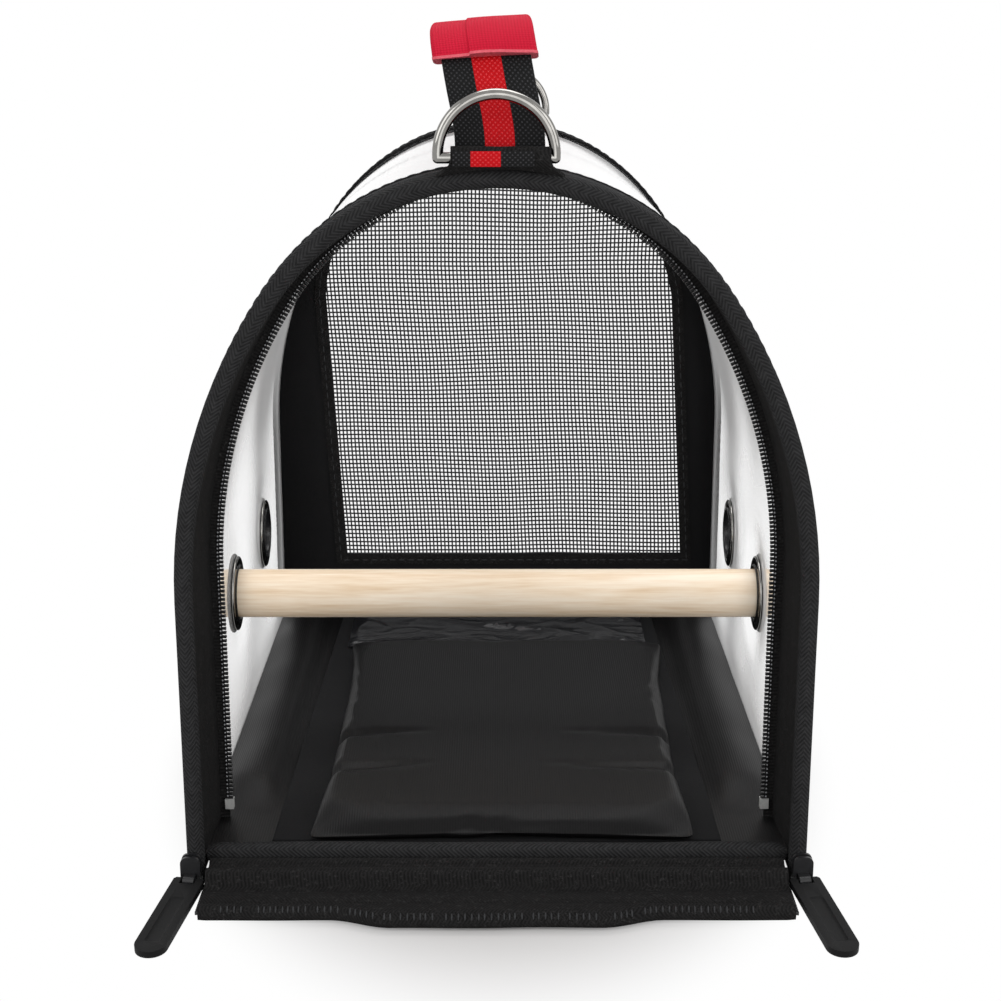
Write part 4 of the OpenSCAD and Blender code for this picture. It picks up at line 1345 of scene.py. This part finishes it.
# outline of a strip with soft corners, each turned in even steps
def stripOutline(half, thick, y, corner, steps):
    outline = []
    for cornerX, cornerY, start in ((1, -1, -90), (1, 1, 0), (-1, 1, 90), (-1, -1, 180)):
        for step in range(steps + 1):
            turn = math.radians(start + 90 // steps * step)
            outline.append((cornerX * (half - corner) + corner * math.cos(turn),
                            y + cornerY * (thick / 2 - corner) + corner * math.sin(turn)))
    return outline


def makeStrap():
    outline = stripOutline(handle["width"] / 2, handle["thick"], -handle["half"] + handle["thick"] / 2,
                           handle["corner"], 3)
    strap = traceProfile("handleWebbing", [(x, y, strapLow.z) for x, y in outline], closed=True)
    climb(handle["spring"] - strapLow.z, 3)
    sweepHandle(0, 22, 60)
    climb(strapLow.z - handle["spring"], 3)
    closePiece(strap, fill=True, angle=50)
    layWeave(strap, lambda place: (handleRun(place)[0], place.x))
    moveVertices(strap, leanHandle)
    finishPiece(strap, webbing, "webbing_black", "handle_strap")


wrapSleeve = {"width": 34 * mm, "pad": 1.7 * mm, "start": math.radians(48), "edge": 0.15 * mm, "cut": 1.0,
              "edgeTurn": 0.014, "lapX": -4.5 * mm, "lapRise": 0.7 * mm, "wave": 0.5 * mm,
              "corner": 1.6 * mm, "soft": 12 * mm}


# outline of the sleeve at one angle up the front bend, grown on every side
def sleeveOutline(turn, grow=0.0):
    thick = handle["thick"] + 2 * wrapSleeve["pad"] + 2 * grow
    half = wrapSleeve["width"] / 2 + grow
    centre = -handle["half"] + handle["thick"] / 2
    outline = stripOutline(half, thick, centre, wrapSleeve["corner"], 5)
    face, lapX, rise = centre - thick / 2, wrapSleeve["lapX"], wrapSleeve["lapRise"]
    outline += [(-11 * mm, face - rise * 0.15), (lapX - 0.6 * mm, face - rise * 0.2), (lapX, face - rise),
                (0, face - rise), (5 * mm, face - rise * 0.7), (10 * mm, face - rise * 0.3)]
    base = Vector((0, -handle["in"], handle["spring"]))
    upBend = Matrix.Rotation(-turn, 3, "X")
    return [tuple(base + upBend @ (Vector((x, y, handle["spring"])) - base)) for x, y in outline]


# padded sleeve closed round the webbing, with its lap along the top and a bound edge at each end
def makeSleeve():
    sleeve = traceProfile("handleSleeve", sleeveOutline(wrapSleeve["start"]), closed=True)
    sweepHandle(wrapSleeve["start"], 12, 54)
    closePiece(sleeve, fill=True, angle=38)
    edge = traceProfile("sleeveEdge", sleeveOutline(wrapSleeve["start"] - wrapSleeve["edgeTurn"],
                                                    wrapSleeve["edge"]), closed=True)
    bpy.ops.mesh.spin(steps=2, angle=2 * wrapSleeve["edgeTurn"],
                      center=(0, -handle["in"], handle["spring"]), axis=(1, 0, 0))
    closePiece(edge, fill=True, angle=38)
    rear = copyPiece(edge, "sleeveEdge", Matrix.Scale(-1, 4, (0, 1, 0)))
    edges = joinPieces("sleeveEdgeTape", [edge, rear])
    start = handle["bend"] * wrapSleeve["start"]

    def soften(place):
        run, depth = handleRun(place)
        side = 1 if place.y > 0 else -1
        near = 1 - smooth(min(run, handle["whole"] - run) - start, 0, wrapSleeve["soft"])
        centre = Vector((place.x, side * handle["in"], handle["spring"]))
        turn = side * wrapSleeve["cut"] * max(depth + wrapSleeve["pad"], 0) * near / handle["bend"]
        place = centre + Matrix.Rotation(turn, 3, "X") @ (place - centre)
        lift = noiseAt(place.x * 40, run * 28, place.z * 10) * wrapSleeve["wave"]
        pull = noiseAt(7, run * 18, 2) * wrapSleeve["wave"]
        return leanHandle(place + Vector((pull, 0, lift)))
    for piece, material in ((sleeve, redCloth), (edges, redEdge)):
        layWeave(piece, lambda place: (handleRun(place)[0], place.x))
        moveVertices(piece, soften)
        finishPiece(piece, material, "wrap_red")
    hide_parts("handle_wrap")


makeStrap()
makeSleeve()
print("stage: handle")

ringBar = Vector(joints["front_ring_swing"]["pos_m"])
# the tab's rows: Y from the bar in mm, Z from the crown in mm, share of the flare, share of the arch
tab = {"inner": 2.15 * mm, "thick": 1.5 * mm, "flare": 4.5 * mm, "columns": 28, "wraps": 8,
       "wrapFrom": 55, "wrapTurn": 140, "wave": 0.25 * mm,
       "root": ((6.3, 0.9, 0.0, 1.0), (4.6, 2.0, 0.0, 0.6)),
       "foot": ((-2.6, 1.2, 0.15, 0.5), (0.3, -0.3, 1.0, 1.0))}


# sewn tab: it comes off the top of the tunnel, wraps the ring's bar and flares down over the rim
def makeTab(name, node, inward, centreX):
    low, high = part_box(node)
    half = (high.x - low.x) / 2
    outer = tab["inner"] + tab["thick"]
    root, foot = [[(ringBar.y + y * mm, tunnel["height"] + z * mm, flare, follow)
                   for y, z, flare, follow in tab[rows]] for rows in ("root", "foot")]
    route = root
    for step in range(tab["wraps"]):
        turn = math.radians(tab["wrapFrom"] + tab["wrapTurn"] * step / (tab["wraps"] - 1))
        route.append((ringBar.y + outer * math.cos(turn), ringBar.z + outer * math.sin(turn), 0.0, 0.0))
    route += foot
    cloth = traceProfile(name, [(-half, y, z) for y, z, _, _ in route])
    drawAcross(2 * half, tab["columns"])
    bpy.ops.object.mode_set(mode="OBJECT")

    def shape(place):
        nearest = min(route, key=lambda r: math.hypot(r[0] - place.y, r[1] - place.z))
        _, _, flare, follow = nearest
        x = place.x * (half + tab["flare"] * flare) / half
        drop = crownRadius - math.sqrt(crownRadius ** 2 - x * x)
        wave = tab["wave"] * noiseAt(x * 90, place.z * 60, 1)
        return Vector((x + centreX, (place.y + wave) * inward, place.z - drop * follow + wave))
    moveVertices(cloth, shape)
    addModifier(cloth, "SOLIDIFY", thickness=tab["thick"] * 0.8, offset=-1)
    closePiece(cloth, angle=50)
    layWeave(cloth, lambda place: (place.x, place.z + abs(place.y)))
    finishPiece(cloth, bandCloth, "black_polyester", node)


makeTab("frontRingTab", "front_tab", 1, 1.4 * mm)
makeTab("rearRingTab", "rear_tab", -1, 0)


# turned end of the webbing, sewn down over the front tab
def makeWebbingFoot():
    outer = tab["inner"] + tab["thick"] + 0.35 * mm
    route = [(ringBar.y + outer * math.cos(math.radians(150 + 12 * i)),
              ringBar.z + outer * math.sin(math.radians(150 + 12 * i))) for i in range(5)]
    route += [(ringBar.y - 3.6 * mm, tunnel["height"] + 1.3 * mm)]
    foot = traceProfile("webbingFoot", [(-14 * mm, y, z) for y, z in route])
    drawAcross(26 * mm, 16)
    bpy.ops.object.mode_set(mode="OBJECT")
    addModifier(foot, "SOLIDIFY", thickness=0.9 * mm, offset=1)
    closePiece(foot, angle=50)
    layWeave(foot, lambda place: (place.z * 1.1, place.x + 3.4 * mm))
    finishPiece(foot, webbing, "webbing_black")


makeWebbingFoot()
for ringNode in ("front_d_ring", "rear_d_ring"):
    dressNode(ringNode, nickel)
print("stage: tabs and rings")

pull = {"length": 45 * mm, "width": 11 * mm, "thick": 2.4 * mm, "notchW": 5.4 * mm, "notchL": 3.2 * mm,
        "neck": 11 * mm, "tip": 5 * mm, "rim": 2 * mm, "sink": 0.5 * mm, "floorGap": 0.4 * mm,
        "edge": 0.4 * mm, "lug": 0.6 * mm, "shoulder": 0.8 * mm, "rest": -0.4 * mm, "tipSteps": 16,
        "pin": 0.9 * mm, "corner": 2.2 * mm}


# zip pull: a flat tongue, forked round its pin, with a sunk bare face
def makePull(side, name):
    joint = joints[name + "_pull_swing"]
    pin = Vector(joint["pos_m"])
    splay = math.atan2(abs(joint["axis"][1]), abs(joint["axis"][0]))
    tilt = math.asin((pin.z - pull["thick"] / 2 - pull["floorGap"]) / (pull["length"] - pull["width"] / 4))
    half, end, low = pull["width"] / 2, pull["width"] / 2, -pull["thick"] / 2
    notch, lug, rest = pull["notchW"] / 2, pull["lug"], pull["rest"]
    outline = [(-notch, lug, low), (-notch, -pull["notchL"], low), (notch, -pull["notchL"], low),
               (notch, lug, low), (half - pull["shoulder"], lug, low), (half, rest, low)]
    for step in range(pull["tipSteps"] + 1):
        turn = math.radians(-180 * step / pull["tipSteps"])
        outline.append((half * math.cos(turn), end - pull["length"] + half * math.sin(turn), low))
    outline += [(-half, rest, low), (-half + pull["shoulder"], lug, low)]
    tongue = traceProfile(name + "PullTongue", outline, closed=True)
    bpy.ops.mesh.edge_face_add()
    extrudeBy(z=pull["thick"])
    closePiece(tongue)
    faceLength = pull["length"] - pull["neck"] - pull["tip"]
    sunk = makeBlock("pullFace", (0, -pull["neck"] - faceLength / 2, pull["thick"]),
                     (pull["width"] - 2 * pull["rim"], faceLength, pull["thick"] + 2 * pull["sink"]),
                     pull["corner"], 5)
    addModifier(tongue, "BOOLEAN", operation="DIFFERENCE", object=sunk, solver="EXACT")
    bpy.data.objects.remove(sunk)
    addModifier(tongue, "BEVEL", width=pull["edge"], segments=3, limit_method="ANGLE",
                angle_limit=math.radians(40))
    deselectAll()
    bpy.ops.mesh.primitive_cylinder_add(vertices=20, radius=pull["pin"], depth=pull["width"] - pull["lug"],
                                        rotation=(0, math.pi / 2, 0))
    pinPiece = newPiece("pullPin")
    tongue = joinPieces(name + "PullTongue", [tongue, pinPiece])
    tongue.data.transform(Matrix.Translation(pin) @ Matrix.Rotation(side * splay, 4, "Z")
                          @ Matrix.Rotation(tilt, 4, "X"))
    makeActive(tongue)
    bpy.ops.object.shade_smooth_by_angle(angle=math.radians(35))
    finishPiece(tongue, pullPlastic, "pull_rubber", name + "_pull", body=name + "_pull")


for side, name in ((-1, "left"), (1, "right")):
    makePull(side, name)
    dressNode(name + "_slider", paintedZinc)
dressNode("base_binding", bandCloth)
print("stage: sliders, pulls and base")

view = {"lens": 63.2, "sensor": 36, "place": (0.0005, -0.721, 0.295), "pitch": 74.9, "yaw": -0.08}
cameraData = bpy.data.cameras.new("viewCamera")
cameraData.lens = view["lens"]
cameraData.sensor_width = view["sensor"]
camera = bpy.data.objects.new("viewCamera", cameraData)
camera.location = view["place"]
camera.rotation_euler = (math.radians(view["pitch"]), 0, math.radians(view["yaw"]))
bpy.context.scene.collection.objects.link(camera)
bpy.context.scene.camera = camera


# 1 for the camera's rays and for mirrored or passing ones
def seenRays(tree):
    path = addNode(tree, "LightPath")
    return mathNode(tree, "MAXIMUM", path.outputs["Is Camera Ray"],
                    mathNode(tree, "MAXIMUM", path.outputs["Is Glossy Ray"],
                             path.outputs["Is Transmission Ray"]))


# painted studio floor, matt: it takes the soft shadow, and turns white away from the object
def makeFloor():
    deselectAll()
    bpy.ops.mesh.primitive_plane_add(size=12)
    floor = newPiece("studioFloor")
    material, tree, principled = startMaterial("mattStudioPaint", Roughness=0.9)
    principled.inputs["Base Color"].default_value = linear("#c9c7c6")
    spread = addNode(tree, "VectorMath", {0: objectPlace(tree), 1: (1.8, 1.0, 0.0)},
                     operation="MULTIPLY").outputs[0]
    reach = addNode(tree, "VectorMath", {0: spread}, operation="LENGTH").outputs["Value"]
    far = addNode(tree, "MapRange", {0: reach, "From Min": 0.17, "From Max": 0.26},
                  interpolation_type="SMOOTHSTEP").outputs[0]
    glow = addNode(tree, "Emission", {"Color": (1, 1, 1, 1), "Strength": 1.0})
    share = mathNode(tree, "MULTIPLY", far, seenRays(tree))
    mixed = addNode(tree, "MixShader", {0: share, 1: principled.outputs[0], 2: glow.outputs[0]})
    tree.links.new(mixed.outputs[0], tree.nodes["Material Output"].inputs["Surface"])
    floor.data.materials.append(material)


# white surround for the camera and for reflections; plain soft daylight for everything else
def makeWorld():
    world = bpy.data.worlds.new("studioWorld")
    bpy.context.scene.world = world
    world.use_nodes = True
    tree = world.node_tree
    strength = addNode(tree, "MapRange", {0: seenRays(tree), "To Min": 0.55, "To Max": 1.0})
    tree.links.new(strength.outputs[0], tree.nodes["Background"].inputs["Strength"])
    tree.nodes["Background"].inputs["Color"].default_value = (1, 1, 1, 1)


def makeLamp(name, place, aim, size, power):
    lampData = bpy.data.lights.new(name, "AREA")
    lampData.size = size
    lampData.energy = power
    lamp = bpy.data.objects.new(name, lampData)
    lamp.location = place
    lamp.rotation_euler = (Vector(aim) - Vector(place)).to_track_quat("-Z", "Y").to_euler()
    bpy.context.scene.collection.objects.link(lamp)


makeFloor()
makeWorld()
for lamp in (("overheadLamp", (0.1, 0.4, 1.35), (0, 0, 0.05), 0.9, 10),
             ("frontLamp", (0.15, -1.4, 0.4), (0, 0, 0.2), 0.9, 5),
             ("leftLamp", (-1.3, -0.9, 0.9), (0, 0, 0.12), 1.0, 9),
             ("rightLamp", (1.3, -0.8, 0.8), (0, 0, 0.12), 1.0, 8)):
    makeLamp(*lamp)
bpy.context.scene.view_settings.view_transform = "Standard"

print("stage: camera, floor and lamps")
